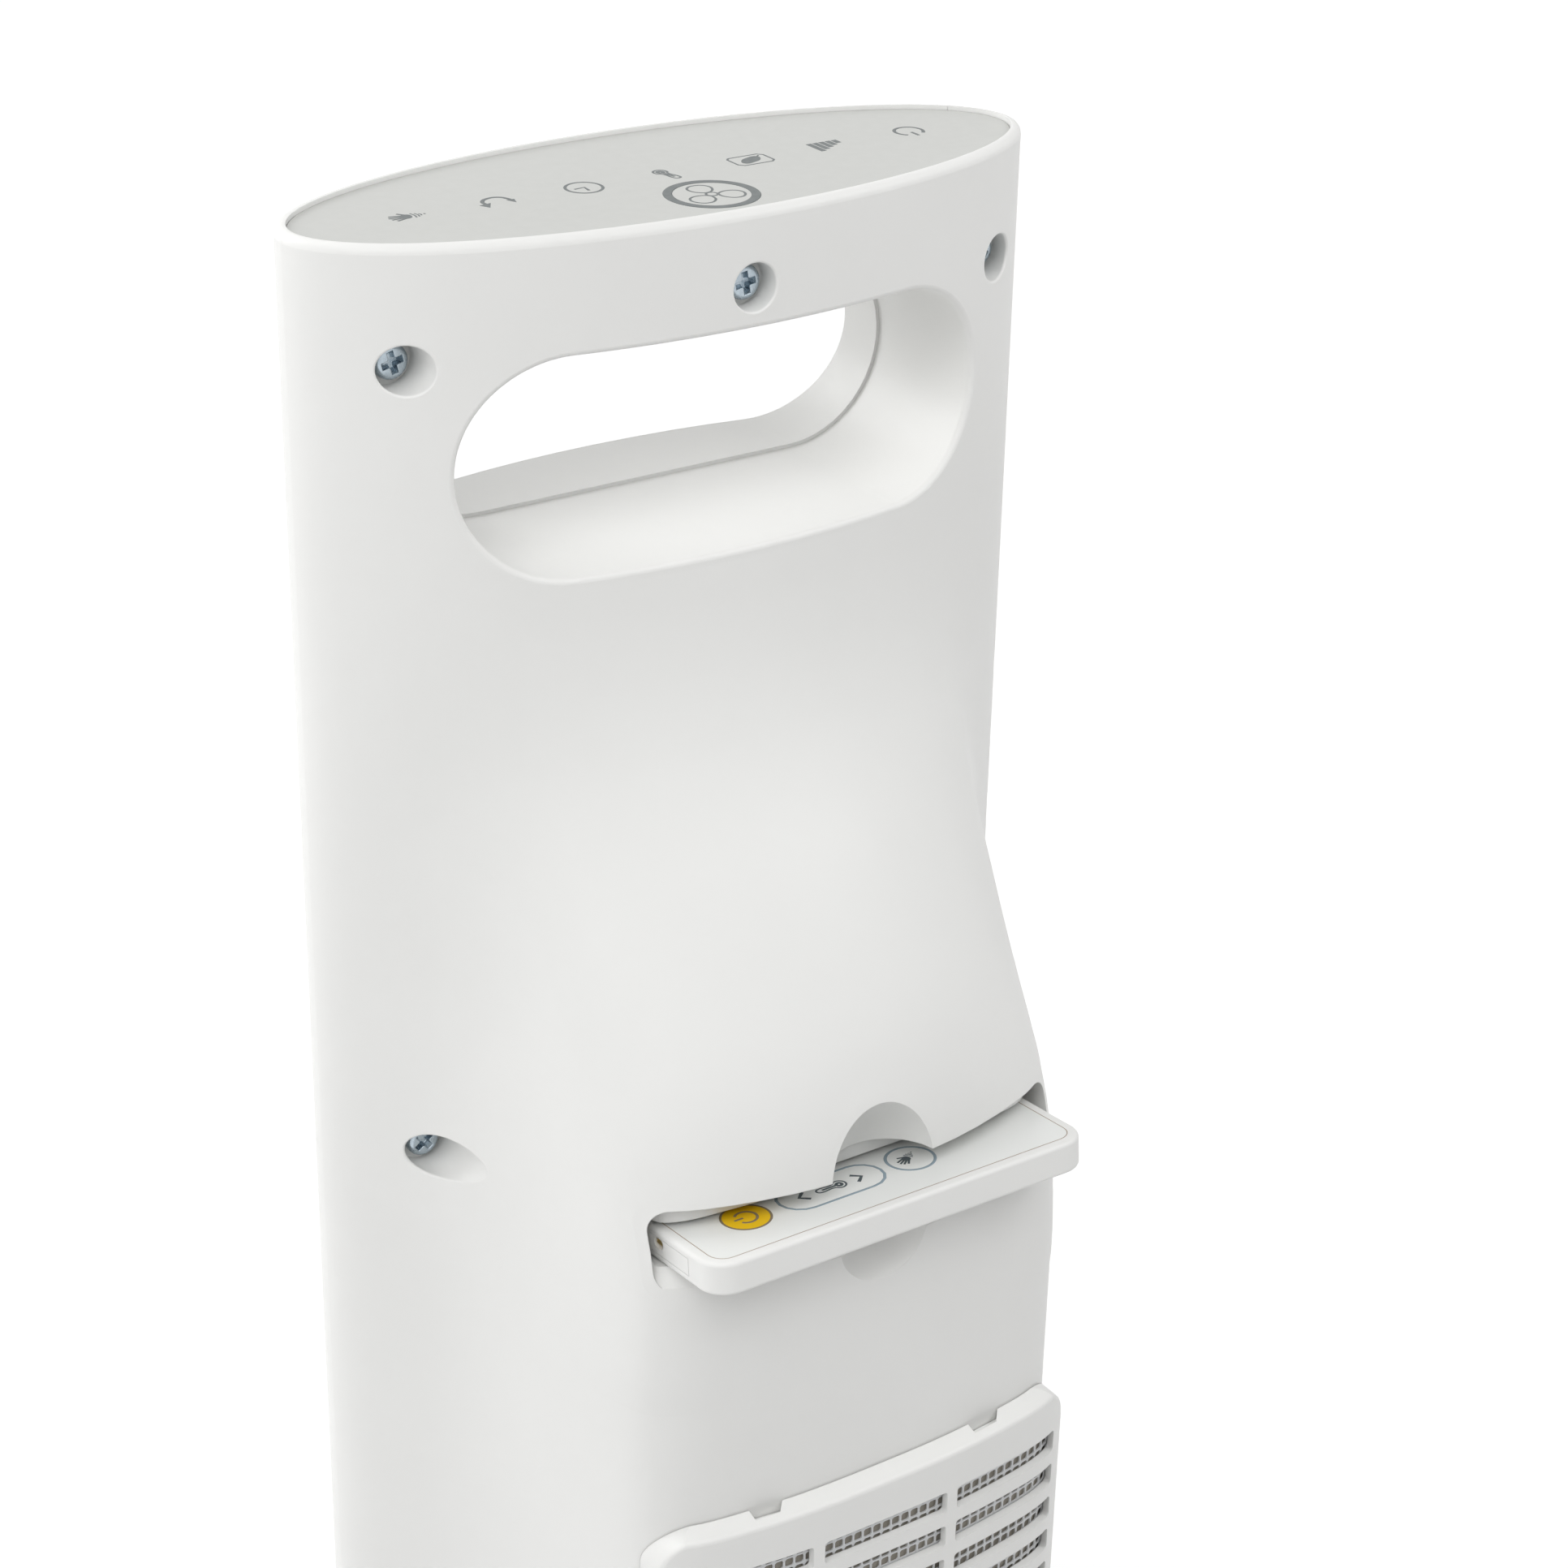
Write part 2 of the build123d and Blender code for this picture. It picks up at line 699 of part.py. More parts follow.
# Remote control: case, membrane with its keys, board, and the coin cell's tray
handset_edge = 1.0
overlay_margin = 2.7
overlay_thickness = 0.4
case_wall = 1.6
key_board_thickness = 1.6
tray_left = 27.0
tray_width = 25.0
tray_height = 4.4
tray_y = -23.5
cell_radius = 10.0
cell_thickness = 2.5
cell_x = 39.5
cell_floor = 0.8
half_thickness = handset_thickness / 2
overlay_width = handset_width - 2 * overlay_margin
overlay_length = handset_length - 2 * overlay_margin
cavity_left = -handset_width / 2 + case_wall + overlay_margin
cavity_right = tray_left - case_wall
cavity_length = handset_length - 2 * (case_wall + overlay_margin)
cavity_x = (cavity_left + cavity_right) / 2
tray_right = handset_width / 2
tray_x = (tray_left + tray_right) / 2
with BuildPart() as handset_case:
    with BuildSketch(handset_plane.offset(-half_thickness)):
        with Locations((0, -handset_length / 2)):
            RectangleRounded(handset_width, handset_length, handset_round)
    extrude(amount=handset_thickness)
    fillet(handset_case.edges().filter_by(handset_plane), radius=handset_edge)
    with BuildSketch(handset_plane.offset(half_thickness - overlay_thickness)):
        with Locations((0, -handset_length / 2)):
            RectangleRounded(overlay_width, overlay_length, handset_round - overlay_margin)
    extrude(amount=overlay_thickness, mode=Mode.SUBTRACT)
    with BuildSketch(handset_plane.offset(-tray_height / 2)):
        with Locations((cavity_x, -handset_length / 2)):
            Rectangle(cavity_right - cavity_left, cavity_length)
    extrude(amount=tray_height, mode=Mode.SUBTRACT)
    with BuildSketch(handset_plane.offset(-tray_height / 2)):
        with Locations((tray_x + overrun / 2, tray_y)):
            Rectangle(tray_right - tray_left + overrun, tray_width)
    extrude(amount=tray_height, mode=Mode.SUBTRACT)
handset_case.part.label = "handset_case"
export_step(handset_case.part, "parts/handset_case.step")

with BuildPart() as handset_overlay:
    with BuildSketch(handset_plane.offset(half_thickness - overlay_thickness)):
        with Locations((0, -handset_length / 2)):
            RectangleRounded(
                overlay_width - 2 * fit_gap,
                overlay_length - 2 * fit_gap,
                handset_round - overlay_margin,
            )
    extrude(amount=overlay_thickness)
handset_overlay.part.label = "handset_overlay"
export_step(handset_overlay.part, "parts/handset_overlay.step")

with BuildPart() as handset_board:
    with BuildSketch(handset_plane.offset(-tray_height / 2)):
        with Locations((cavity_x, -handset_length / 2)):
            Rectangle(cavity_right - cavity_left - 2 * fit_gap, cavity_length - 2 * fit_gap)
    extrude(amount=key_board_thickness)
handset_board.part.label = "handset_board"
export_step(handset_board.part, "parts/handset_board.step")

with BuildPart() as battery_tray:
    with BuildSketch(handset_plane.offset(fit_gap / 2 - tray_height / 2)):
        with Locations((tray_x + fit_gap / 2, tray_y)):
            Rectangle(tray_right - tray_left - fit_gap, tray_width - 2 * fit_gap)
    extrude(amount=tray_height - fit_gap)
    with BuildSketch(handset_plane.offset(cell_floor - tray_height / 2)):
        with Locations((cell_x, tray_y)):
            Circle(cell_radius + fit_gap)
    extrude(amount=tray_height, mode=Mode.SUBTRACT)
battery_tray.part.label = "battery_tray"
export_step(battery_tray.part, "parts/battery_tray.step")

with BuildPart() as coin_cell:
    with BuildSketch(handset_plane.offset(cell_floor - tray_height / 2)):
        with Locations((cell_x, tray_y)):
            Circle(cell_radius)
    extrude(amount=cell_thickness)
coin_cell.part.label = "coin_cell"
export_step(coin_cell.part, "parts/coin_cell.step")

# Fan duct: two end plates on legs, a spiral wall, and the hole for the fan's motor
fan_y = 21.0
wheel_radius = 30.0
wheel_bottom = 99.0
wheel_top = 301.0
disc_thickness = 2.0
shaft_radius = 3.0
plate_half_width = 50.0
plate_front = -38.0
plate_back = 48.0
plate_round = 6.0
plate_thickness = 3.0
duct_bottom = 95.0
duct_top = 305.0
duct_height = duct_top - duct_bottom
duct_wall = 2.0
leg_radius = 4.0
leg_back = 42.0
leg_front = -33.0
leg_x = 44.0
floor_thickness = 4.0
floor_top = tower_bottom + floor_thickness
bush_radius = 7.0
motor_hole_radius = 8.0
scroll_start = 110.0
scroll_end = 190.0
scroll_steps = 6
scroll_near = 34.0
scroll_far = 42.0
heater_half_width = 46.0
heater_front = -37.0
heater_back = -19.5
duct_end = heater_back + duct_wall / 2
plate_y_middle = (plate_front + plate_back) / 2
scroll_points = []
for step in range(scroll_steps + 1):
    step_share = step / scroll_steps
    scroll_angle = math.radians(scroll_start + step_share * (scroll_end - scroll_start))
    scroll_reach = scroll_near + step_share * (scroll_far - scroll_near)
    scroll_x = scroll_reach * math.cos(scroll_angle)
    scroll_points.append((scroll_x, fan_y + scroll_reach * math.sin(scroll_angle)))

with BuildPart() as duct_scroll:
    for level in (duct_bottom - plate_thickness, duct_top):
        with BuildSketch(Plane.XY.offset(level)):
            with Locations((0, plate_y_middle)):
                RectangleRounded(2 * plate_half_width, plate_back - plate_front, plate_round)
        extrude(amount=plate_thickness)
    with BuildSketch(Plane.XY.offset(duct_bottom)):
        with BuildLine():
            Spline(*scroll_points)
            Line(scroll_points[-1], (-heater_half_width + duct_wall / 2, duct_end))
        trace(line_width=duct_wall)
    extrude(amount=duct_height)
    with BuildSketch(Plane.XY.offset(floor_top)):
        with Locations((-leg_x, leg_back), (leg_x, leg_back), (-leg_x, leg_front), (leg_x, leg_front)):
            Circle(leg_radius)
    extrude(amount=duct_bottom - plate_thickness - floor_top)
    with BuildSketch(Plane.XY.offset(duct_bottom - plate_thickness)):
        with Locations((0, fan_y)):
            Circle(bush_radius)
    extrude(amount=plate_thickness, mode=Mode.SUBTRACT)
    with BuildSketch(Plane.XY.offset(duct_top)):
        with Locations((0, fan_y)):
            Circle(motor_hole_radius)
    extrude(amount=plate_thickness, mode=Mode.SUBTRACT)
duct_scroll.part.label = "duct_scroll"
export_step(duct_scroll.part, "parts/duct_scroll.step")

# Tongue of the duct, close to the wheel on the other side
tongue_x = 34.0
tongue_back = 12.0
tongue_bend_x = 37.0
tongue_bend_y = 4.0
with BuildPart() as duct_tongue:
    with BuildSketch(Plane.XY.offset(duct_bottom)):
        with BuildLine():
            Polyline(
                (tongue_x, tongue_back),
                (tongue_bend_x, tongue_bend_y),
                (heater_half_width - duct_wall / 2, duct_end),
            )
        trace(line_width=duct_wall)
    extrude(amount=duct_height)
duct_tongue.part.label = "duct_tongue"
export_step(duct_tongue.part, "parts/duct_tongue.step")

# Bush at the foot of the fan's shaft
bush_bottom = 86.0
bush_bore_bottom = 89.0
bush_flange_radius = 10.0
with BuildPart() as bearing_bush:
    with BuildSketch(Plane.XY.offset(bush_bottom)):
        with Locations((0, fan_y)):
            Circle(bush_radius - shaft_gap)
    extrude(amount=duct_bottom - bush_bottom)
    with BuildSketch(Plane.XY.offset(duct_bottom)):
        with Locations((0, fan_y)):
            Circle(bush_flange_radius)
    extrude(amount=disc_thickness)
    with BuildSketch(Plane.XY.offset(bush_bore_bottom)):
        with Locations((0, fan_y)):
            Circle(shaft_radius + shaft_gap)
    extrude(amount=overrun, mode=Mode.SUBTRACT)
bearing_bush.part.label = "bearing_bush"
export_step(bearing_bush.part, "parts/bearing_bush.step")

# Upright crossflow fan wheel and its shaft
blade_count = 24
blade_inner = 23.0
blade_outer = 29.2
blade_thickness = 0.9
blade_sag = 1.6
blade_lead = 5.0
hub_radius = 6.0
hub_height = 8.0
shaft_bottom = bush_bore_bottom + running_gap
motor_bore_depth = 20.0
bracket_thickness = 2.5
motor_bottom = duct_top + plate_thickness + bracket_thickness
shaft_top = motor_bottom + motor_bore_depth - running_gap
with BuildPart() as one_blade:
    with BuildSketch(Plane.XY.offset(wheel_bottom)):
        with BuildLine():
            ThreePointArc(
                (blade_inner, 0),
                ((blade_inner + blade_outer) / 2, blade_sag),
                (blade_outer, blade_lead),
            )
        trace(line_width=blade_thickness)
    extrude(amount=wheel_top - wheel_bottom)
with BuildPart() as fan_wheel:
    disc_levels = (wheel_bottom, (wheel_bottom + wheel_top) / 2, wheel_top - disc_thickness)
    for level in disc_levels:
        with BuildSketch(Plane.XY.offset(level)):
            with Locations((0, fan_y)):
                Circle(wheel_radius)
        extrude(amount=disc_thickness)
    with BuildSketch(Plane.XY.offset(wheel_bottom), Plane.XY.offset(wheel_top - hub_height)):
        with Locations((0, fan_y)):
            Circle(hub_radius)
    extrude(amount=hub_height)
    with Locations((0, fan_y, 0)):
        with PolarLocations(0, blade_count):
            add(one_blade.part)
    with BuildSketch(Plane.XY.offset(wheel_bottom)):
        with Locations((0, fan_y)):
            Circle(shaft_radius + shaft_gap)
    extrude(amount=wheel_top - wheel_bottom, mode=Mode.SUBTRACT)
fan_wheel.part.label = "fan_wheel"
export_step(fan_wheel.part, "parts/fan_wheel.step")

with BuildPart() as fan_shaft:
    with BuildSketch(Plane.XY.offset(shaft_bottom)):
        with Locations((0, fan_y)):
            Circle(shaft_radius)
    extrude(amount=shaft_top - shaft_bottom)
fan_shaft.part.label = "fan_shaft"
export_step(fan_shaft.part, "parts/fan_shaft.step")

# Fan motor and the bracket that it stands on
motor_radius = 22.0
motor_height = 36.0
motor_round = 3.0
bracket_length = 74.0
bracket_width = 46.0
with BuildPart() as motor_bracket:
    with BuildSketch(Plane.XY.offset(duct_top + plate_thickness)):
        with Locations((0, fan_y)):
            SlotOverall(bracket_length, bracket_width)
            Circle(motor_hole_radius, mode=Mode.SUBTRACT)
    extrude(amount=bracket_thickness)
motor_bracket.part.label = "motor_bracket"
export_step(motor_bracket.part, "parts/motor_bracket.step")

with BuildPart() as fan_motor:
    with BuildSketch(Plane.XY.offset(motor_bottom)):
        with Locations((0, fan_y)):
            Circle(motor_radius)
    extrude(amount=motor_height)
    fillet(fan_motor.faces().sort_by(Axis.Z)[-1].edges(), radius=motor_round)
    with BuildSketch(Plane.XY.offset(motor_bottom)):
        with Locations((0, fan_y)):
            Circle(shaft_radius + shaft_gap)
    extrude(amount=motor_bore_depth, mode=Mode.SUBTRACT)
fan_motor.part.label = "fan_motor"
export_step(fan_motor.part, "parts/fan_motor.step")

# Heating element: a frame, aluminium-clad ceramic bars and zigzag fins between them
frame_wall = 4.0
bar_width = 5.0
bar_count = 3
fin_count = 4
fin_turns = 50
fin_sheet = 0.6
element_margin = 1.5
element_half = heater_half_width - frame_wall
element_bottom = duct_bottom + frame_wall
element_height = duct_height - 2 * frame_wall
element_front = heater_front + element_margin
element_depth = heater_back - heater_front - 2 * element_margin
heater_y = (heater_front + heater_back) / 2
fin_width = (2 * element_half - bar_count * bar_width) / fin_count
element_pitch = fin_width + bar_width
with BuildPart() as heater_frame:
    with BuildSketch(Plane.XY.offset(duct_bottom)):
        with Locations((0, heater_y)):
            Rectangle(2 * heater_half_width, heater_back - heater_front)
    extrude(amount=duct_height)
    with BuildSketch(Plane.XY.offset(element_bottom)):
        with Locations((0, heater_y)):
            Rectangle(2 * element_half, 2 * overrun)
    extrude(amount=element_height, mode=Mode.SUBTRACT)
heater_frame.part.label = "heater_frame"
export_step(heater_frame.part, "parts/heater_frame.step")

with BuildPart() as ptc_ceramics:
    for number in range(bar_count):
        bar_x = (number - (bar_count - 1) / 2) * element_pitch
        with BuildSketch(plane_y(element_front + element_depth)):
            with Locations((bar_x, element_bottom + element_height / 2)):
                Rectangle(bar_width, element_height)
        extrude(amount=element_depth)
ptc_ceramics.part.label = "ptc_ceramics"
export_step(ptc_ceramics.part, "parts/ptc_ceramics.step")

fin_rise = element_height / fin_turns
fin_slope = math.atan2(fin_rise, fin_width)
fin_run = fin_sheet / math.sin(fin_slope)
with BuildPart() as ptc_fins:
    for number in range(fin_count):
        fin_x = (number - (fin_count - 1) / 2) * element_pitch
        half = (fin_width - fin_run) / 2 - fit_gap
        left_side = []
        for turn_number in range(fin_turns + 1):
            swing = half if turn_number % 2 else -half
            level = element_bottom + turn_number * fin_rise
            left_side.append((fin_x + swing - fin_run / 2, level))
        right_side = [(x + fin_run, z) for x, z in reversed(left_side)]
        with BuildSketch(plane_y(element_front + element_depth)):
            with BuildLine():
                Polyline(*left_side, *right_side, close=True)
            make_face()
        extrude(amount=element_depth)
ptc_fins.part.label = "ptc_fins"
export_step(ptc_fins.part, "parts/ptc_fins.step")

# Overheat cutout on the duct's top plate
cutout_x = 36.0
cutout_y = -28.0
cutout_radius = 7.0
cutout_height = 5.0
cutout_tab = 5.0
cutout_tab_thickness = 0.8
with BuildPart() as thermal_cutout:
    with BuildSketch(Plane.XY.offset(duct_top + plate_thickness)):
        with Locations((cutout_x, cutout_y)):
            Circle(cutout_radius)
    extrude(amount=cutout_height)
    with BuildSketch(Plane.XY.offset(duct_top + plate_thickness + cutout_height)):
        with Locations((cutout_x, cutout_y)):
            with GridLocations(cutout_tab, 0, 2, 1):
                Rectangle(cutout_tab_thickness, cutout_tab)
    extrude(amount=cutout_tab)
thermal_cutout.part.label = "thermal_cutout"
export_step(thermal_cutout.part, "parts/thermal_cutout.step")

# Power board on its standoffs, with its relays
relay_count = 3
relay_width = 15.0
relay_height = 19.0
relay_depth = 16.0
relay_pitch = 26.0
relay_z = 500.0
with BuildPart() as power_board:
    with BuildSketch(plane_y(board_y + board_thickness)):
        with Locations((0, board_z)):
            Rectangle(board_width, board_height)
    extrude(amount=board_thickness)
power_board.part.label = "power_board"
export_step(power_board.part, "parts/power_board.step")

with BuildPart() as relays:
    with BuildSketch(plane_y(board_y + board_thickness + relay_depth)):
        with Locations((0, relay_z)):
            with GridLocations(relay_pitch, 0, relay_count, 1):
                Rectangle(relay_width, relay_height)
    extrude(amount=relay_depth)
relays.part.label = "relays"
export_step(relays.part, "parts/relays.step")

# Air temperature probe in the intake, and the switch that cuts out on tipping
probe_x = 42.0
probe_y = 34.0
probe_radius = 2.0
probe_height = 14.0
tip_y = -46.0
tip_width = 22.0
tip_depth = 12.0
tip_height = 20.0
with BuildPart() as temperature_sensor:
    with BuildSketch(Plane.XY.offset(duct_bottom)):
        with Locations((probe_x, probe_y)):
            Circle(probe_radius)
    extrude(amount=probe_height)
temperature_sensor.part.label = "temperature_sensor"
export_step(temperature_sensor.part, "parts/temperature_sensor.step")

with BuildPart() as tip_switch:
    with BuildSketch(Plane.XY.offset(floor_top)):
        with Locations((0, tip_y)):
            Rectangle(tip_width, tip_depth)
    extrude(amount=tip_height)
tip_switch.part.label = "tip_switch"
export_step(tip_switch.part, "parts/tip_switch.step")

# Swinging drive: gear sizes first, because the tower's floor carries the motor
gear_module = 1.25
gear_teeth = 40
pinion_teeth = 12
pressure_angle = 25.0
addendum_share = 0.8
dedendum_share = 1.1
tooth_thinning = 0.2
gear_height = 6.0
washer_thickness = 1.2
spindle_radius = 12.0
spindle_bore = 8.0
spindle_gap = 0.1
gear_bottom = floor_top + running_gap + washer_thickness
gear_radius = gear_module * gear_teeth / 2
pinion_radius = gear_module * pinion_teeth / 2
pinion_x = -(gear_radius + pinion_radius)
swing_motor_x = -39.0
swing_motor_radius = 22.0
swing_motor_height = 16.0
swing_motor_bottom = 48.0
ear_length = 60.0
ear_width = 9.0
ear_thickness = 1.2
ear_post_y = 26.0
ear_post_radius = 3.5
pinion_shaft_radius = 2.5
pinion_shaft_length = 12.0

# Tower's floor, inside the casing, turning on the spindle
with BuildPart() as tower_floor:
    extrude(
        to_extrude=section(tower_bottom, 1, 1, shell_wall + fit_gap),
        amount=floor_thickness,
    )
    with BuildSketch(Plane.XY.offset(tower_bottom)):
        Circle(spindle_radius + spindle_gap)
    extrude(amount=floor_thickness, mode=Mode.SUBTRACT)
    with BuildSketch(Plane.XY.offset(floor_top)):
        with Locations((swing_motor_x, ear_post_y), (swing_motor_x, -ear_post_y)):
            Circle(ear_post_radius)
    extrude(amount=swing_motor_bottom - floor_top)
tower_floor.part.label = "tower_floor"
export_step(tower_floor.part, "parts/tower_floor.step")

with BuildPart() as swing_motor:
    with BuildSketch(Plane.XY.offset(swing_motor_bottom)):
        with Locations((swing_motor_x, 0)):
            Circle(swing_motor_radius)
    extrude(amount=swing_motor_height)
    with BuildSketch(Plane.XY.offset(swing_motor_bottom)):
        with Locations((swing_motor_x, 0)):
            SlotOverall(ear_length, ear_width, rotation=90)
    extrude(amount=ear_thickness)
    with BuildSketch(Plane.XY.offset(swing_motor_bottom)):
        with Locations((pinion_x, 0)):
            Circle(pinion_shaft_radius + shaft_gap)
    extrude(amount=pinion_shaft_length, mode=Mode.SUBTRACT)
swing_motor.part.label = "swing_motor"
export_step(swing_motor.part, "parts/swing_motor.step")


def involute_angle(base, radius):
    """Turn of an involute's point at a radius, in radians."""
    if radius <= base:
        return 0.0
    return math.sqrt((radius / base) ** 2 - 1) - math.acos(base / radius)


def gear_outline(teeth, turn):
    """Closed points round a spur gear, with a tooth centred on the turn in degrees."""
    pitch = gear_module * teeth / 2
    base = pitch * math.cos(math.radians(pressure_angle))
    tip = pitch + addendum_share * gear_module
    root = pitch - dedendum_share * gear_module
    start = max(base, root)
    half_tooth = math.pi / (2 * teeth) - tooth_thinning / (2 * pitch)
    flank_shares = (0.0, 0.3, 0.65, 1.0)
    flank = []
    for flank_share in flank_shares:
        radius = start + flank_share * (tip - start)
        angle = half_tooth + involute_angle(base, pitch) - involute_angle(base, radius)
        flank.append((radius, angle))
    foot = (root, flank[0][1])
    points = []
    for tooth in range(teeth):
        middle = math.radians(turn) + 2 * math.pi * tooth / teeth
        rising = [foot] + flank if root < start else flank
        for radius, angle in rising:
            points.append((radius * math.cos(middle - angle), radius * math.sin(middle - angle)))
        for radius, angle in reversed(rising):
            points.append((radius * math.cos(middle + angle), radius * math.sin(middle + angle)))
    return points


pinion_turn = 180 / pinion_teeth
with BuildPart() as base_gear:
    with BuildSketch(Plane.XY.offset(gear_bottom)):
        with BuildLine():
            Polyline(*gear_outline(gear_teeth, 0), close=True)
        make_face()
        Circle(spindle_radius + shaft_gap, mode=Mode.SUBTRACT)
    extrude(amount=gear_height)
base_gear.part.label = "base_gear"
export_step(base_gear.part, "parts/base_gear.step")

pinion_points = [(x + pinion_x, y) for x, y in gear_outline(pinion_teeth, pinion_turn)]
with BuildPart() as swing_pinion:
    with BuildSketch(Plane.XY.offset(gear_bottom)):
        with BuildLine():
            Polyline(*pinion_points, close=True)
        make_face()
    extrude(amount=gear_height)
    with BuildSketch(Plane.XY.offset(gear_bottom + gear_height)):
        with Locations((pinion_x, 0)):
            Circle(pinion_shaft_radius)
    extrude(amount=swing_motor_bottom + pinion_shaft_length - running_gap - gear_bottom - gear_height)
swing_pinion.part.label = "swing_pinion"
export_step(swing_pinion.part, "parts/swing_pinion.step")

# Spindle that the tower turns on, with its washer and nut
plate_bottom = 3.0
base_plate_thickness = 3.0
base_plate_top = plate_bottom + base_plate_thickness
spindle_flange_radius = 28.0
spindle_flange_thickness = 3.0
nut_height = 6.0
nut_radius = 15.0
washer_radius = 18.0
nut_bottom = gear_bottom + gear_height
with BuildPart() as spindle:
    with BuildSketch(Plane.XY.offset(base_plate_top)):
        Circle(spindle_flange_radius)
    extrude(amount=spindle_flange_thickness)
    with BuildSketch(Plane.XY.offset(base_plate_top)):
        Circle(spindle_radius)
    extrude(amount=nut_bottom + nut_height - base_plate_top)
    with BuildSketch(Plane.XY.offset(base_plate_top)):
        Circle(spindle_bore)
    extrude(amount=nut_bottom + nut_height - base_plate_top, mode=Mode.SUBTRACT)
spindle.part.label = "spindle"
export_step(spindle.part, "parts/spindle.step")

with BuildPart() as spindle_washer:
    with BuildSketch(Plane.XY.offset(gear_bottom - washer_thickness)):
        Circle(washer_radius)
        Circle(spindle_radius + shaft_gap, mode=Mode.SUBTRACT)
    extrude(amount=washer_thickness)
spindle_washer.part.label = "spindle_washer"
export_step(spindle_washer.part, "parts/spindle_washer.step")

with BuildPart() as spindle_nut:
    with BuildSketch(Plane.XY.offset(nut_bottom)):
        RegularPolygon(nut_radius, 6)
        Circle(spindle_radius + shaft_gap, mode=Mode.SUBTRACT)
    extrude(amount=nut_height)
spindle_nut.part.label = "spindle_nut"
export_step(spindle_nut.part, "parts/spindle_nut.step")

# Slippery ring that the tower rests on
ring_inner = 44.0
ring_outer = 54.0
with BuildPart() as slide_ring:
    with BuildSketch(Plane.XY.offset(base_height)):
        Circle(ring_outer)
        Circle(ring_inner, mode=Mode.SUBTRACT)
    extrude(amount=tower_gap - running_gap)
slide_ring.part.label = "slide_ring"
export_step(slide_ring.part, "parts/slide_ring.step")

# Round base: cover, plate, weight, feet, screws and the cord's gland
base_wall = 2.5
base_edge = 16.0
base_rise = 14.0
base_skirt = 4.0
base_boss_radius = 5.0
base_screw_place = 84.0
base_screw_count = 4
base_screw_radius = 1.75
base_screw_length = 17.0
base_head_radius = 3.6
base_head_height = 2.0
pad_half_width = 15.0
pad_back = 103.0
pad_front = 96.0
pad_top = 22.0
gland_z = 13.5
gland_radius = 6.4
gland_flange_radius = 8.0
gland_flange = 2.8
gland_bore = 4.0
gland_front = 95.0
gland_notch = 13.0
flat_radius = base_radius - base_edge
edge_level = base_height - base_rise
profile_turn = 22.5
with BuildPart() as base_cover:
    with BuildSketch(Plane.XZ.rotated((0, 0, profile_turn))):
        with BuildLine():
            EllipticalCenterArc(
                (flat_radius, edge_level), base_edge, base_rise, start_angle=0, arc_size=90
            )
            Line((flat_radius, base_height), (spindle_radius + fit_gap, base_height))
            Line(
                (spindle_radius + fit_gap, base_height),
                (spindle_radius + fit_gap, base_height - base_wall),
            )
            Line(
                (spindle_radius + fit_gap, base_height - base_wall),
                (flat_radius, base_height - base_wall),
            )
            EllipticalCenterArc(
                (flat_radius, edge_level),
                base_edge - base_wall,
                base_rise - base_wall,
                start_angle=0,
                arc_size=90,
            )
            Line((base_radius - base_wall, edge_level), (base_radius - base_wall, base_skirt))
            Line((base_radius - base_wall, base_skirt), (base_radius, base_skirt))
            Line((base_radius, base_skirt), (base_radius, edge_level))
        make_face()
    revolve(axis=Axis.Z)
    with BuildSketch(Plane.XY.offset(base_plate_top)):
        with PolarLocations(base_screw_place, base_screw_count):
            Circle(base_boss_radius)
    extrude(amount=base_height - base_wall - base_plate_top)
    with BuildSketch(Plane.XY.offset(base_plate_top)):
        with Locations((0, (pad_back + pad_front) / 2)):
            Rectangle(2 * pad_half_width, pad_back - pad_front)
    extrude(amount=pad_top - base_plate_top)
    with BuildSketch(Plane.XY.offset(base_skirt)):
        with Locations((0, pad_back + overrun / 2)):
            Rectangle(2 * gland_notch, overrun)
    extrude(amount=base_height, mode=Mode.SUBTRACT)
    with BuildSketch(Plane.XY.offset(base_plate_top)):
        with PolarLocations(base_screw_place, base_screw_count):
            Circle(base_screw_radius + shaft_gap)
    extrude(amount=base_screw_length, mode=Mode.SUBTRACT)
    with BuildSketch(plane_y(pad_back)):
        with Locations((0, gland_z)):
            Circle(gland_radius + fit_gap)
    extrude(amount=pad_back - gland_front, mode=Mode.SUBTRACT)
base_cover.part.label = "base_cover"
export_step(base_cover.part, "parts/base_cover.step")

plate_radius = pad_back - fit_gap
with BuildPart() as base_plate:
    with BuildSketch(Plane.XY.offset(plate_bottom)):
        Circle(plate_radius)
        Circle(spindle_bore, mode=Mode.SUBTRACT)
        with PolarLocations(base_screw_place, base_screw_count):
            Circle(base_screw_radius + fit_gap, mode=Mode.SUBTRACT)
    extrude(amount=base_plate_thickness)
base_plate.part.label = "base_plate"
export_step(base_plate.part, "parts/base_plate.step")

ballast_inner = 32.0
ballast_outer = 70.0
ballast_height = 8.0
with BuildPart() as ballast_plate:
    with BuildSketch(Plane.XY.offset(base_plate_top)):
        Circle(ballast_outer)
        Circle(ballast_inner, mode=Mode.SUBTRACT)
    extrude(amount=ballast_height)
ballast_plate.part.label = "ballast_plate"
export_step(ballast_plate.part, "parts/ballast_plate.step")

foot_radius = 9.0
foot_place = 90.0
foot_count = 4
foot_turn = 45.0
with BuildPart() as feet:
    with BuildSketch(Plane.XY):
        with PolarLocations(foot_place, foot_count, start_angle=foot_turn):
            Circle(foot_radius)
    extrude(amount=plate_bottom)
feet.part.label = "feet"
export_step(feet.part, "parts/feet.step")

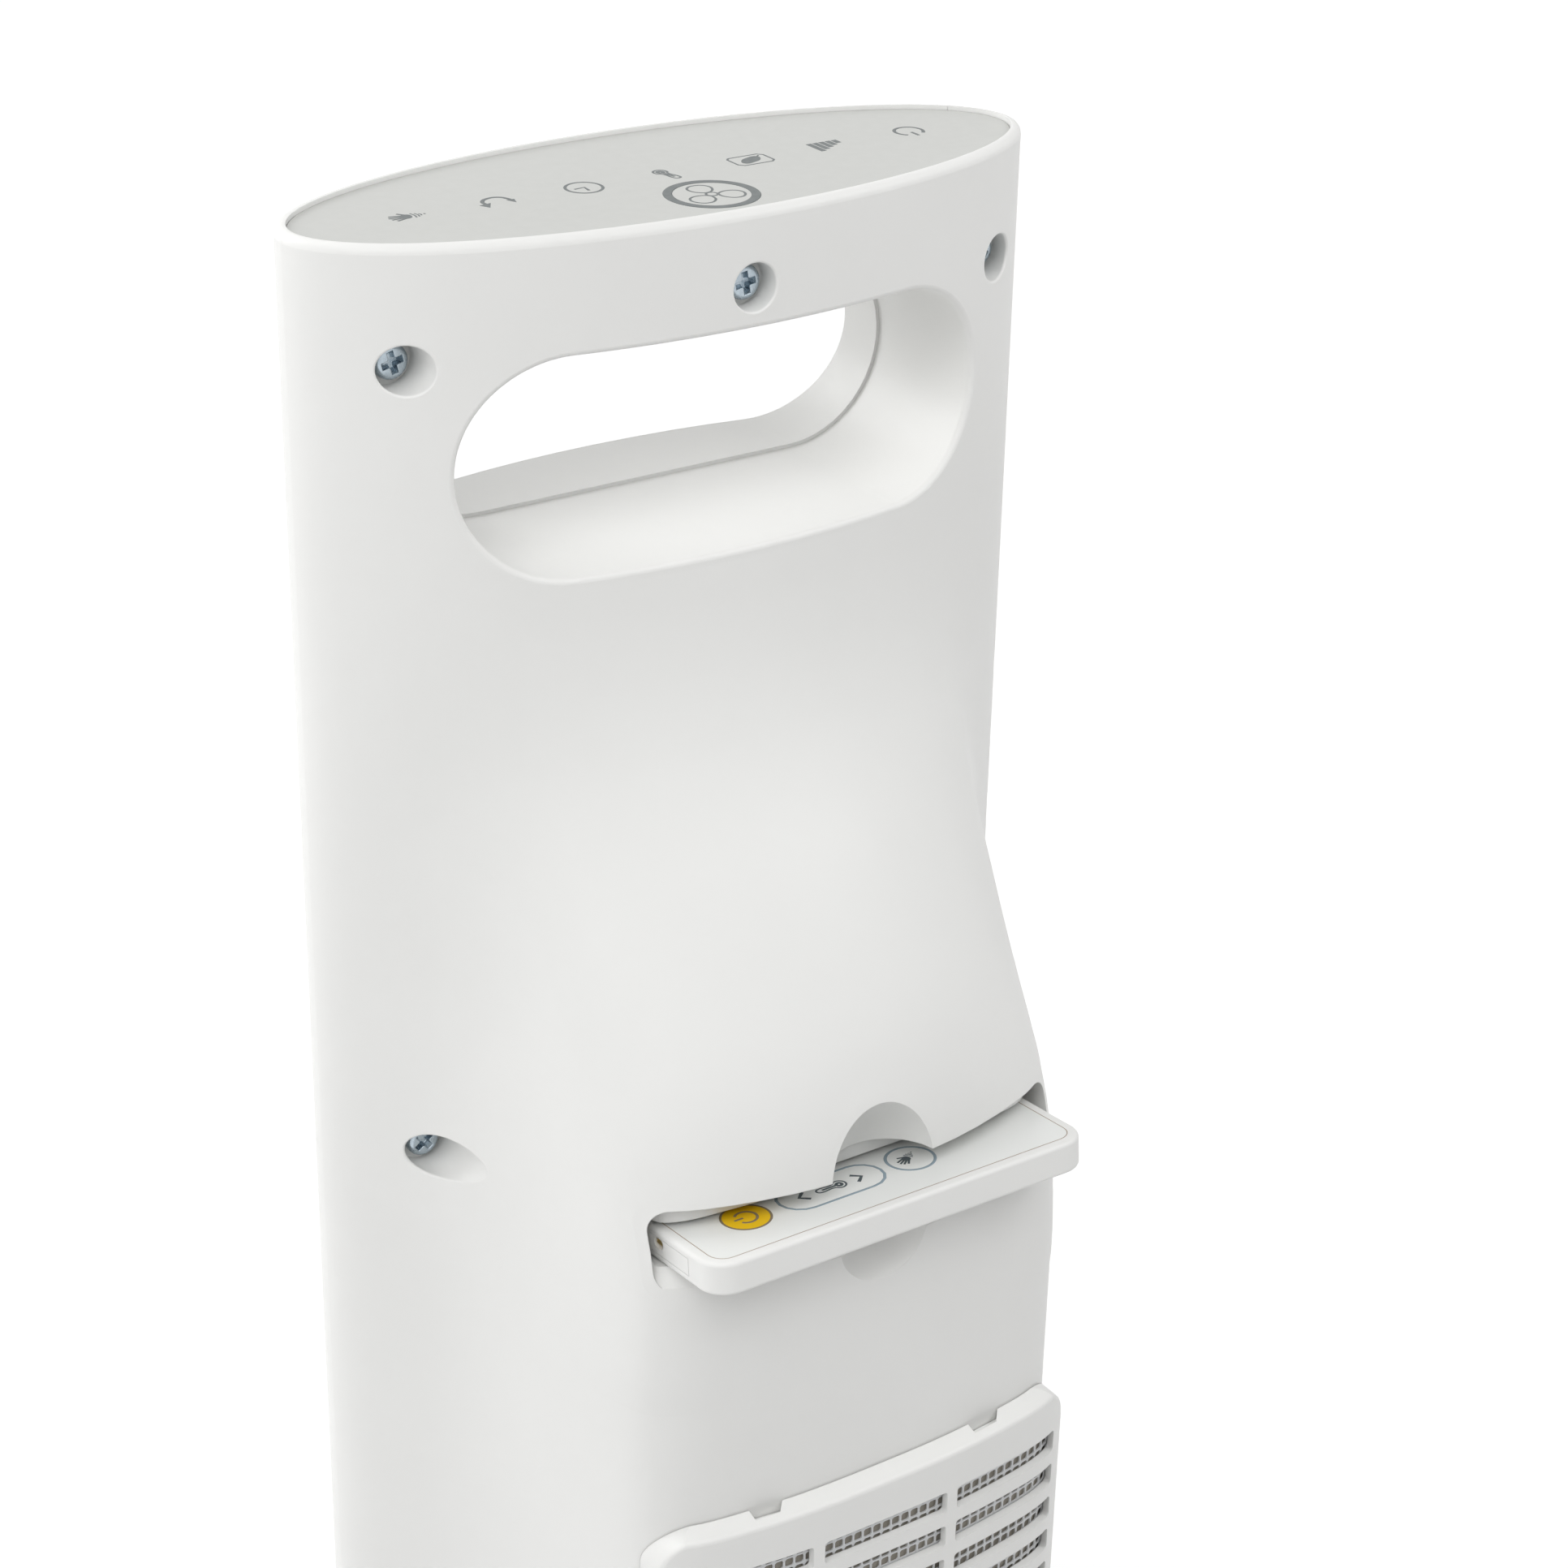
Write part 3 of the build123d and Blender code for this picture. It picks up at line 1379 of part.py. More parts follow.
with BuildPart() as base_screws:
    with BuildSketch(Plane.XY.offset(plate_bottom - base_head_height)):
        with PolarLocations(base_screw_place, base_screw_count):
            Circle(base_head_radius)
    extrude(amount=base_head_height)
    with BuildSketch(Plane.XY.offset(plate_bottom)):
        with PolarLocations(base_screw_place, base_screw_count):
            Circle(base_screw_radius)
    extrude(amount=base_screw_length)
base_screws.part.label = "base_screws"
export_step(base_screws.part, "parts/base_screws.step")

with BuildPart() as cord_gland:
    with BuildSketch(plane_y(pad_back)):
        with Locations((0, gland_z)):
            Circle(gland_radius)
    extrude(amount=pad_back - gland_front)
    with BuildSketch(plane_y(pad_back + gland_flange)):
        with Locations((0, gland_z)):
            Circle(gland_flange_radius)
    extrude(amount=gland_flange)
    with BuildSketch(plane_y(pad_back + gland_flange)):
        with Locations((0, gland_z)):
            Circle(gland_bore)
    extrude(amount=pad_back + gland_flange - gland_front, mode=Mode.SUBTRACT)
cord_gland.part.label = "cord_gland"
export_step(cord_gland.part, "parts/cord_gland.step")
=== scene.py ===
import bpy
import bmesh
import math
from mathutils import Matrix, Vector


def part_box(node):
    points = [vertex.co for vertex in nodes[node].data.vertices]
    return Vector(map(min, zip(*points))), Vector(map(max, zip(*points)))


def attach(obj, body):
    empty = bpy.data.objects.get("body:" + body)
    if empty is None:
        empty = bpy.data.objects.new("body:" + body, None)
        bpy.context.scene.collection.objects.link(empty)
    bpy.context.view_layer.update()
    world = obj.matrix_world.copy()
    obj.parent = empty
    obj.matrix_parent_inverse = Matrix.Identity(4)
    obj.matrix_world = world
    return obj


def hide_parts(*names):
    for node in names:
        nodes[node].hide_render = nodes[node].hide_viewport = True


# The heater's bodies as the CAD holds them, in metres, with the origin at the
# middle of the base on the floor, the warm air outlet towards -Y and +Z up.
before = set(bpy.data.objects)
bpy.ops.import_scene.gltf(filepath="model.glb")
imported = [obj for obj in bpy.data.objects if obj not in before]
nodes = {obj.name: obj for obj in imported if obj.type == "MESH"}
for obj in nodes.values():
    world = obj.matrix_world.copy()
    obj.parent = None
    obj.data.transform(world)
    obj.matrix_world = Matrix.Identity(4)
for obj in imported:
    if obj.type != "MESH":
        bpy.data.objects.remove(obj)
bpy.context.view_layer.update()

# The camera stands behind the heater, above it and to one side, close enough that
# the lower half of the tower is out of the picture.
camera_place = Vector((0.40099, 0.60194, 0.83470))
camera_right = Vector((-0.82786688, 0.56058931, 0.01939215))
camera_up = Vector((-0.23149691, -0.3729515, 0.89850785))
camera_back = Vector((0.51092623, 0.73935567, 0.43852889))
bpy.ops.object.camera_add()
camera = bpy.context.object
camera.name = "camera"
camera.data.lens = 79.32
camera.data.sensor_width = 36.0
camera.data.clip_end = 50.0
camera.matrix_world = Matrix((
    (camera_right.x, camera_up.x, camera_back.x, camera_place.x),
    (camera_right.y, camera_up.y, camera_back.y, camera_place.y),
    (camera_right.z, camera_up.z, camera_back.z, camera_place.z),
    (0.0, 0.0, 0.0, 1.0),
))
bpy.context.scene.camera = camera

# The swivelling base: a moulded cover over a pressed plate, with an iron ring
# for weight, four soft feet, screws from below and the mains lead's gland.


def new_material(name):
    """An empty node material with its shader, output and object coordinates."""
    material = bpy.data.materials.new(name)
    material.use_nodes = True
    tree = material.node_tree
    shader = tree.nodes["Principled BSDF"]
    coordinates = tree.nodes.new("ShaderNodeTexCoord")
    return material, tree, shader, coordinates.outputs["Object"]


def grain(tree, place, scale, detail=2.0, stretch=None):
    """Noise of a size given in features to the metre, stretched where asked."""
    noise = tree.nodes.new("ShaderNodeTexNoise")
    noise.inputs["Scale"].default_value = scale
    noise.inputs["Detail"].default_value = detail
    if stretch:
        mapping = tree.nodes.new("ShaderNodeMapping")
        mapping.inputs["Scale"].default_value = stretch
        tree.links.new(place, mapping.inputs["Vector"])
        place = mapping.outputs["Vector"]
    tree.links.new(place, noise.inputs["Vector"])
    return noise.outputs["Fac"]


def spread(tree, value, low, high, from_low=0.3, from_high=0.7):
    """A value, such as a noise's, spread between two levels."""
    levels = tree.nodes.new("ShaderNodeMapRange")
    levels.inputs["From Min"].default_value = from_low
    levels.inputs["From Max"].default_value = from_high
    levels.inputs["To Min"].default_value = low
    levels.inputs["To Max"].default_value = high
    tree.links.new(value, levels.inputs["Value"])
    return levels.outputs["Result"]


def tinted(tree, shader, value, first, second):
    """Gives the shader a colour that wanders between two, as a value does."""
    mix = tree.nodes.new("ShaderNodeMix")
    mix.data_type = "RGBA"
    mix.inputs["A"].default_value = (*first, 1.0)
    mix.inputs["B"].default_value = (*second, 1.0)
    tree.links.new(value, mix.inputs["Factor"])
    tree.links.new(mix.outputs["Result"], shader.inputs["Base Color"])


def rough_skin(tree, shader, height, strength, distance, edge=0.0):
    """Fine relief on a surface, over edges that are rounded by a radius."""
    bump = tree.nodes.new("ShaderNodeBump")
    bump.inputs["Strength"].default_value = strength
    bump.inputs["Distance"].default_value = distance
    tree.links.new(height, bump.inputs["Height"])
    if edge:
        rounded = tree.nodes.new("ShaderNodeBevel")
        rounded.samples = 4
        rounded.inputs["Radius"].default_value = edge
        tree.links.new(rounded.outputs["Normal"], bump.inputs["Normal"])
    tree.links.new(bump.outputs["Normal"], shader.inputs["Normal"])


def moulded_plastic(name, light, dark, roughness, edge=0.0003):
    """Moulded plastic: a faint cloudiness, an eroded sheen and soft edges."""
    material, tree, shader, place = new_material(name)
    cloud = spread(tree, grain(tree, place, 14.0, 4.0), 0.0, 1.0)
    tinted(tree, shader, cloud, light, dark)
    shader.inputs["Specular IOR Level"].default_value = 0.35
    sheen = spread(tree, grain(tree, place, 300.0, 3.0), roughness - 0.03, roughness + 0.05)
    tree.links.new(sheen, shader.inputs["Roughness"])
    rough_skin(tree, shader, grain(tree, place, 1600.0), strength=0.06, distance=0.0002, edge=edge)
    return material


def worked_metal(name, light, dark, roughness, stretch):
    """Rolled or turned metal, with fine lines along one way."""
    material, tree, shader, place = new_material(name)
    shader.inputs["Metallic"].default_value = 1.0
    lines = grain(tree, place, 700.0, 3.0, stretch)
    tinted(tree, shader, lines, light, dark)
    sheen = spread(tree, lines, roughness - 0.06, roughness + 0.08)
    tree.links.new(sheen, shader.inputs["Roughness"])
    rough_skin(tree, shader, lines, strength=0.12, distance=0.0001, edge=0.0003)
    return material


def dress(material, *names):
    """Gives CAD nodes a finish."""
    for name in names:
        node = nodes[name]
        node.data.materials.clear()
        node.data.materials.append(material)


white_plastic = moulded_plastic("white_plastic", (0.80, 0.80, 0.785), (0.775, 0.775, 0.76), 0.42)
black_plastic = moulded_plastic("black_plastic", (0.022, 0.022, 0.024), (0.03, 0.03, 0.032), 0.5)
slide_plastic = moulded_plastic("slide_plastic", (0.66, 0.65, 0.58), (0.60, 0.59, 0.53), 0.36)
turned_steel = worked_metal("turned_steel", (0.58, 0.58, 0.58), (0.46, 0.46, 0.47), 0.3, (1, 1, 6))
zinc_plate = worked_metal("zinc_plate", (0.50, 0.57, 0.62), (0.36, 0.42, 0.47), 0.24, (1, 4, 1))

foot_rubber, tree, shader, place = new_material("foot_rubber")
tinted(tree, shader, grain(tree, place, 500.0, 4.0), (0.05, 0.05, 0.05), (0.085, 0.085, 0.08))
shader.inputs["Roughness"].default_value = 0.85
rough_skin(tree, shader, grain(tree, place, 1400.0, 3.0), strength=0.3, distance=0.0003, edge=0.0005)

cast_iron, tree, shader, place = new_material("cast_iron")
tinted(tree, shader, grain(tree, place, 120.0, 5.0), (0.06, 0.06, 0.062), (0.12, 0.11, 0.105))
shader.inputs["Metallic"].default_value = 0.7
tree.links.new(spread(tree, grain(tree, place, 220.0, 4.0), 0.55, 0.8), shader.inputs["Roughness"])
rough_skin(tree, shader, grain(tree, place, 420.0, 4.0), strength=0.5, distance=0.0006, edge=0.0006)

dress(white_plastic, "base_cover", "cord_gland")
dress(black_plastic, "base_plate")
dress(cast_iron, "ballast_plate")
dress(foot_rubber, "feet")
dress(zinc_plate, "base_screws")
dress(turned_steel, "spindle", "spindle_washer", "spindle_nut")
dress(slide_plastic, "base_gear", "slide_ring")

# The tower's floor with the swinging drive: a flat geared motor held by its two
# ears, whose pinion walks round the fixed gear, and the tip-over switch.
motor_steel = worked_metal("motor_steel", (0.50, 0.51, 0.52), (0.40, 0.41, 0.42), 0.38, (1, 1, 5))
dress(white_plastic, "tower_floor")
dress(motor_steel, "swing_motor")
dress(slide_plastic, "swing_pinion")
dress(black_plastic, "tip_switch")

# The two halves of the casing, moulded in satin white and screwed together from
# behind. Their parting line shows inside the handle hole and down both flanks.
dress(white_plastic, "rear_shell", "front_shell")

# The fan: an upright wheel of thin blades on a steel shaft, in a duct of two
# plates and a spiral wall, with its motor standing on a bracket above.
bush_brass = worked_metal("bush_brass", (0.62, 0.47, 0.20), (0.52, 0.38, 0.15), 0.3, (1, 1, 6))
dress(black_plastic, "fan_wheel", "duct_scroll", "duct_tongue")
dress(turned_steel, "fan_shaft", "motor_bracket")
dress(motor_steel, "fan_motor")
dress(bush_brass, "bearing_bush")

# The heating element behind the outlet: ceramic bars in aluminium, folded fins
# between them, a heat-proof frame and the cutout that guards it.
fin_aluminium = worked_metal("fin_aluminium", (0.70, 0.70, 0.71), (0.60, 0.60, 0.61), 0.34, (1, 1, 8))
heating_ceramic, tree, shader, place = new_material("heating_ceramic")
tinted(tree, shader, grain(tree, place, 600.0, 5.0), (0.34, 0.30, 0.26), (0.24, 0.21, 0.18))
shader.inputs["Roughness"].default_value = 0.7
rough_skin(tree, shader, grain(tree, place, 1500.0, 3.0), strength=0.25, distance=0.0002, edge=0.0003)
dress(fin_aluminium, "ptc_fins")
dress(heating_ceramic, "ptc_ceramics")
dress(black_plastic, "heater_frame", "thermal_cutout")

# The electrical boards: green lacquered laminate with its relays, the display's
# dark holder and the probe that reads the room's air.
board_green, tree, shader, place = new_material("board_green")
tinted(tree, shader, grain(tree, place, 260.0, 3.0), (0.012, 0.075, 0.028), (0.02, 0.11, 0.04))
shader.inputs["Roughness"].default_value = 0.3
shader.inputs["Coat Weight"].default_value = 0.4
rough_skin(tree, shader, grain(tree, place, 2600.0), strength=0.2, distance=0.0001, edge=0.0002)
dress(board_green, "touch_board", "power_board", "handset_board")
dress(black_plastic, "display_board", "relays", "temperature_sensor")

# The front: a slotted outlet in the same satin plastic, the tinted window of the
# display and the milky dome that senses movement.
grille_plastic = moulded_plastic("grille_plastic", (0.79, 0.79, 0.775), (0.765, 0.765, 0.75), 0.4)
window_dark = moulded_plastic("window_dark", (0.012, 0.012, 0.014), (0.016, 0.016, 0.018), 0.09)
sensor_milky = moulded_plastic("sensor_milky", (0.80, 0.80, 0.78), (0.74, 0.75, 0.73), 0.2)
sensor_shader = sensor_milky.node_tree.nodes["Principled BSDF"]
sensor_shader.inputs["Subsurface Weight"].default_value = 0.3
sensor_shader.inputs["Subsurface Radius"].default_value = (0.002, 0.002, 0.002)
dress(grille_plastic, "outlet_grille")
dress(window_dark, "display_window")
dress(sensor_milky, "motion_sensor")

# The casing's screws: bluish zinc-plated pan heads with a wide cross recess,
# driven in from behind at the bottom of deep round recesses.
head_radius = 0.004
head_height = 0.0026
head_round = 0.0011
head_sides = 48
shank_radius = 0.002
shank_length = 0.018
wing_width = 0.0017
wing_reach = 0.0019
wing_depth = 0.002
wing_overrun = 0.0002
wing_corner = 0.00035
wing_taper = 0.6
smooth_angle = math.radians(40)
screw_seats = (
    (0.0, 0.0005, 0.6037, 10.0),
    (0.0773, -0.0172, 0.594, 14.0),
    (-0.0773, -0.0172, 0.594, -31.0),
    (0.0773, -0.0136, 0.404, 38.0),
    (-0.0773, -0.0136, 0.404, 5.0),
    (0.0773, -0.0136, 0.084, -22.0),
    (-0.0773, -0.0136, 0.084, 27.0),
)


def pick_faces(test):
    """Selects the faces of the edited piece whose middle and normal pass a test."""
    bpy.ops.mesh.select_mode(type="FACE")
    bpy.ops.mesh.select_all(action="DESELECT")
    form = bmesh.from_edit_mesh(bpy.context.object.data)
    for face in form.faces:
        face.select_set(test(face.calc_center_median(), face.normal))
    bmesh.update_edit_mesh(bpy.context.object.data)


def pick_edges(test):
    """Selects the edges of the edited piece whose middle and direction pass a test."""
    bpy.ops.mesh.select_mode(type="EDGE")
    bpy.ops.mesh.select_all(action="DESELECT")
    form = bmesh.from_edit_mesh(bpy.context.object.data)
    for edge in form.edges:
        start, end = edge.verts[0].co, edge.verts[1].co
        edge.select_set(test((start + end) / 2, (end - start).normalized()))
    bmesh.update_edit_mesh(bpy.context.object.data)


def cut_away(piece, cutter):
    """Cuts one piece out of another and takes the cutter away."""
    cut = piece.modifiers.new("cut", "BOOLEAN")
    cut.operation = "DIFFERENCE"
    cut.solver = "EXACT"
    cut.object = cutter
    bpy.ops.object.select_all(action="DESELECT")
    bpy.context.view_layer.objects.active = piece
    piece.select_set(True)
    bpy.ops.object.modifier_apply(modifier="cut")
    bpy.data.objects.remove(cutter)


def wing_root(middle, along):
    """True for the upright edges where the cross recess's wings meet its core."""
    return abs(along.z) > 0.9 and abs(middle.x) < wing_width and abs(middle.y) < wing_width


bpy.ops.object.select_all(action="DESELECT")
bpy.ops.mesh.primitive_cylinder_add(
    vertices=head_sides, radius=head_radius, depth=head_height, location=(0.0, 0.0, head_height / 2)
)
screw = bpy.context.object
screw.name = "shell_screw"
bpy.ops.object.transform_apply(location=True)
bpy.ops.object.mode_set(mode="EDIT")
pick_edges(lambda middle, along: middle.z > head_height * 0.99)
bpy.ops.mesh.bevel(offset=head_round, segments=7)
pick_faces(lambda middle, normal: normal.z < -0.9)
bpy.ops.mesh.inset(thickness=head_radius - shank_radius)
bpy.ops.mesh.extrude_region_move(TRANSFORM_OT_translate={"value": (0.0, 0.0, -shank_length)})
bpy.ops.object.mode_set(mode="OBJECT")
bpy.ops.mesh.primitive_cube_add(
    size=1.0,
    scale=(wing_width, wing_width, wing_depth),
    location=(0.0, 0.0, head_height - wing_depth / 2 + wing_overrun),
)
recess = bpy.context.object
bpy.ops.object.transform_apply(location=True, scale=True)
bpy.ops.object.mode_set(mode="EDIT")
pick_faces(lambda middle, normal: abs(normal.z) < 0.1)
bpy.ops.mesh.extrude_faces_move(TRANSFORM_OT_shrink_fatten={"value": wing_reach})
pick_edges(wing_root)
bpy.ops.mesh.bevel(offset=wing_corner, segments=3)
pick_faces(lambda middle, normal: normal.z < -0.9)
bpy.ops.transform.resize(value=(wing_taper, wing_taper, 1.0), center_override=(0.0, 0.0, 0.0))
bpy.ops.object.mode_set(mode="OBJECT")
cut_away(screw, recess)
bpy.ops.object.shade_smooth_by_angle(angle=smooth_angle)
screw.data.materials.append(zinc_plate)
turned_screws = []
for x, y, z, turn in screw_seats:
    turned = screw.copy()
    turned.data = screw.data.copy()
    bpy.context.collection.objects.link(turned)
    turned.data.transform(
        Matrix.Translation((x, y, z))
        @ Matrix.Rotation(math.radians(-90), 4, "X")
        @ Matrix.Rotation(math.radians(turn), 4, "Z")
    )
    turned_screws.append(turned)
bpy.data.objects.remove(screw)
bpy.ops.object.select_all(action="DESELECT")
for turned in turned_screws:
    turned.select_set(True)
bpy.context.view_layer.objects.active = turned_screws[0]
bpy.ops.object.join()
cross_screws = bpy.context.object
cross_screws.name = "cross_screws"
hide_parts("shell_screws")
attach(cross_screws, "tower")

# The oval touch panel lies in the top, a little below the casing's white rim.
# Its keys are marks printed flat on it in one grey ink, drawn here in millimetres.
panel_grey = moulded_plastic("panel_grey", (0.53, 0.535, 0.515), (0.52, 0.525, 0.505), 0.36)
dress(panel_grey, "touch_panel")
millimetre = 0.001
ink_height = 0.00003
panel_middle = Vector((0.0, -0.029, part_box("touch_panel")[1][2]))
clock_x = 21.5
leaf_x = -22.3
fan_mark_y = 18.2
marks = []


def printed(name, light, dark):
    """Printing ink: one colour that is a little thinner in places."""
    material, tree, shader, place = new_material(name)
    shader.inputs["Specular IOR Level"].default_value = 0.3
    tinted(tree, shader, grain(tree, place, 900.0, 3.0), light, dark)
    tree.links.new(spread(tree, grain(tree, place, 500.0), 0.38, 0.48), shader.inputs["Roughness"])
    rough_skin(tree, shader, grain(tree, place, 2400.0), strength=0.1, distance=0.00005)
    return material


def moved(points, x, y, turn=0.0, size=1.0):
    """A mark's points turned, scaled and set down in their place."""
    cosine = size * math.cos(math.radians(turn))
    sine = size * math.sin(math.radians(turn))
    return [(x + u * cosine - v * sine, y + u * sine + v * cosine) for u, v in points]


def arc_points(radius, start, end, steps):
    """Points on an arc about the origin, its ends among them."""
    turns = [math.radians(start + (end - start) * step / steps) for step in range(steps + 1)]
    return [(radius * math.cos(turn), radius * math.sin(turn)) for turn in turns]


def ring_points(radius, knots):
    """Points round a whole circle about the origin."""
    return arc_points(radius, 0, 360 - 360 / knots, knots - 1)


def drawn_curve(points, closed, handle):
    """A curve through points in millimetres, smooth or with corners."""
    bpy.ops.object.select_all(action="DESELECT")
    bpy.ops.curve.primitive_bezier_curve_add()
    curve = bpy.context.object
    line = curve.data.splines[0]
    line.bezier_points.add(len(points) - 2)
    line.use_cyclic_u = closed
    for knot, (x, y) in zip(line.bezier_points, points):
        knot.handle_left_type = handle
        knot.handle_right_type = handle
        knot.co = (x * millimetre, y * millimetre, 0.0)
    curve.data.resolution_u = 5 if handle == "AUTO" else 1
    return curve


def ink_line(points, width, closed=False, handle="AUTO"):
    """A printed line: a round cord along the points, pressed flat."""
    curve = drawn_curve(points, closed, handle)
    radius = width / 2 * millimetre
    curve.data.bevel_depth = radius
    curve.data.bevel_resolution = 2
    curve.data.use_fill_caps = not closed
    bpy.ops.object.convert(target="MESH")
    line = bpy.context.object
    line.scale.z = ink_height / radius
    bpy.ops.object.transform_apply(scale=True)
    marks.append(line)


def ink_shape(points, handle="AUTO"):
    """A printed area inside an outline."""
    curve = drawn_curve(points, True, handle)
    curve.data.dimensions = "2D"
    curve.data.fill_mode = "BOTH"
    curve.data.extrude = ink_height * 0.8
    bpy.ops.object.convert(target="MESH")
    marks.append(bpy.context.object)


def print_marks(name, ink, place, tilt, body):
    """Joins the marks drawn so far and lays them on the surface that carries them."""
    bpy.ops.object.select_all(action="DESELECT")
    for mark in marks:
        mark.select_set(True)
    bpy.context.view_layer.objects.active = marks[0]
    if len(marks) > 1:
        bpy.ops.object.join()
    print_piece = bpy.context.object
    print_piece.name = name
    print_piece.location = place
    print_piece.rotation_euler = (tilt, 0.0, 0.0)
    bpy.ops.object.transform_apply(location=True, rotation=True)
    print_piece.data.materials.clear()
    print_piece.data.materials.append(ink)
    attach(print_piece, body)
    marks.clear()


def ink_hand(x, y, turn, size):
    """A hand with waves beside it, for the key that answers to movement."""
    palm = [(-0.9, -1.1), (0.9, -1.1), (1.5, 0.0), (0.9, 1.2), (-0.6, 1.2), (-1.2, 0.1)]
    ink_shape(moved(palm, x, y, turn, size))
    for start, end in (
        ((0.5, -0.9), (3.3, -1.5)),
        ((0.9, -0.2), (3.8, -0.4)),
        ((0.9, 0.5), (3.6, 0.7)),
        ((0.3, 1.0), (2.9, 1.8)),
        ((-0.5, -0.8), (0.9, -2.6)),
    ):
        ink_line(moved([start, end], x, y, turn, size), 0.7 * size, handle="VECTOR")
    for reach, half, width in ((1.9, 1.5, 0.42), (2.7, 1.2, 0.4), (3.4, 0.65, 0.36)):
        wave = [(-reach + 0.25, -half), (-reach, 0.0), (-reach + 0.25, half)]
        ink_line(moved(wave, x, y, turn, size), width * size)
    ink_line(moved([(-4.2, -0.25), (-4.2, 0.25)], x, y, turn, size), 0.5 * size, handle="VECTOR")


def ink_thermometer(x, y, turn, size, width):
    """A thermometer: a double outline with its bulb towards -Y before it is turned."""
    bulb_y = -2.6
    tip_y = 3.0
    outline = moved(arc_points(1.75, 123, 417, 10), 0.0, bulb_y)
    outline += moved(arc_points(0.95, 0, 180, 4), 0.0, tip_y)
    drop = moved(ring_points(0.7, 12), 0.0, bulb_y)
    column = [(0.0, -2.0), (0.0, 2.4)]
    ink_line(moved(outline, x, y, turn, size), width, closed=True)
    ink_line(moved(drop, x, y, turn, size), width * 1.6, closed=True)
    ink_line(moved(column, x, y, turn, size), width * 1.3, handle="VECTOR")


def ink_switch(x, y, turn, radius, width):
    """The common on and off sign: a ring with a gap and a bar in it."""
    ink_line(moved(arc_points(radius, 128, 412, 14), x, y, turn), width)
    bar = [(0.0, radius * 0.3), (0.0, radius * 1.2)]
    ink_line(moved(bar, x, y, turn), width, handle="VECTOR")


panel_ink = printed("panel_ink", (0.125, 0.14, 0.14), (0.145, 0.16, 0.16))
ink_hand(65.2, -0.4, 0.0, 1.05)

# The swinging key's arrow, bent, with a head at each end, and the timer's clock.
ink_line([(46.2, 0.6), (46.0, -1.7), (43.7, -3.4), (41.2, -3.0), (40.0, -1.0), (39.9, 0.4)], 0.95)
ink_shape([(46.6, 2.9), (44.8, -0.1), (47.9, 0.4)], "VECTOR")
ink_shape([(39.7, 2.2), (38.9, -0.3), (40.9, -0.3)], "VECTOR")
ink_line(moved(ring_points(4.15, 24), clock_x, 0.0), 0.75, closed=True)
ink_line([(24.0, 0.1), (21.3, -0.2), (21.6, 2.4)], 0.75, handle="VECTOR")
ink_thermometer(0.15, 0.5, 12.8, 0.92, 0.6)

# The saving key's leaf in a frame, and the heat key's row of falling bars.
leaf_frame = [
    (4.0, -3.3), (-3.6, -3.3), (-4.7, -2.2), (-4.7, 2.3), (-3.7, 3.3), (3.7, 3.3), (4.8, 2.2), (4.8, -2.4),
]
leaf = [(-2.7, -1.7), (-2.2, 0.6), (-0.2, 1.8), (2.9, 1.9), (2.4, -0.3), (0.4, -1.6)]
leaf_stalk = [(-3.5, -2.3), (-2.4, -1.4)]
ink_line(moved(leaf_frame, leaf_x, 0.0), 0.6, closed=True, handle="VECTOR")
ink_shape(moved(leaf, leaf_x, 0.0))
ink_line(moved(leaf_stalk, leaf_x, 0.0), 0.45, handle="VECTOR")
bar_foot = -4.1
bar_width = 1.4
bar_pitch = 1.72
for bar in range(5):
    bar_left = -40.0 - bar_pitch * bar
    bar_right = bar_left - bar_width
    bar_head = bar_foot + 6.5 - bar
    ink_shape(
        [(bar_left, bar_foot), (bar_right, bar_foot), (bar_right, bar_head), (bar_left, bar_head)],
        "VECTOR",
    )
ink_switch(-67.3, -1.6, 0.0, 3.4, 0.85)

# The large sign nearest the back edge: a fan of three blades in a heavy ring.
petal = [(1.4, 0.4), (3.6, -1.6), (6.3, -1.2), (7.2, 1.4), (5.6, 3.6), (3.2, 3.4), (1.7, 1.9)]
ink_line(moved(ring_points(9.7, 36), 0.0, fan_mark_y), 2.15, closed=True)
for turn in (20, 140, 260):
    ink_line(moved(petal, 0.0, fan_mark_y, turn), 0.6, closed=True)
ink_line(moved(ring_points(1.3, 12), 0.0, fan_mark_y), 0.6, closed=True)
print_marks("panel_marks", panel_ink, panel_middle, 0.0, "tower")

# The remote control: a thin white case with a printed membrane for its keys, and
# the tray of its coin cell in one end, where a brass contact shows in a slot.
handset_tilt = math.radians(6)
handset_seat = Vector((0.0, 0.0755, 0.4038))
handset_out = Vector((0.0, -math.sin(handset_tilt), math.cos(handset_tilt)))
handset_half_thickness = 0.004
handset_end = 0.0525
handset_top = handset_seat + handset_half_thickness * handset_out
overlay_film, tree, shader, place = new_material("overlay_film")
tinted(tree, shader, grain(tree, place, 40.0), (0.78, 0.79, 0.775), (0.76, 0.77, 0.755))
tree.links.new(spread(tree, grain(tree, place, 200.0), 0.3, 0.36), shader.inputs["Roughness"])
dress(white_plastic, "handset_case")
dress(overlay_film, "handset_overlay")
dress(turned_steel, "coin_cell")


def print_on_handset(name, ink, lift=0.0):
    """Prints the marks drawn so far on the membrane, or over an earlier print."""
    print_marks(name, ink, handset_top + lift * handset_out, handset_tilt, "handset")


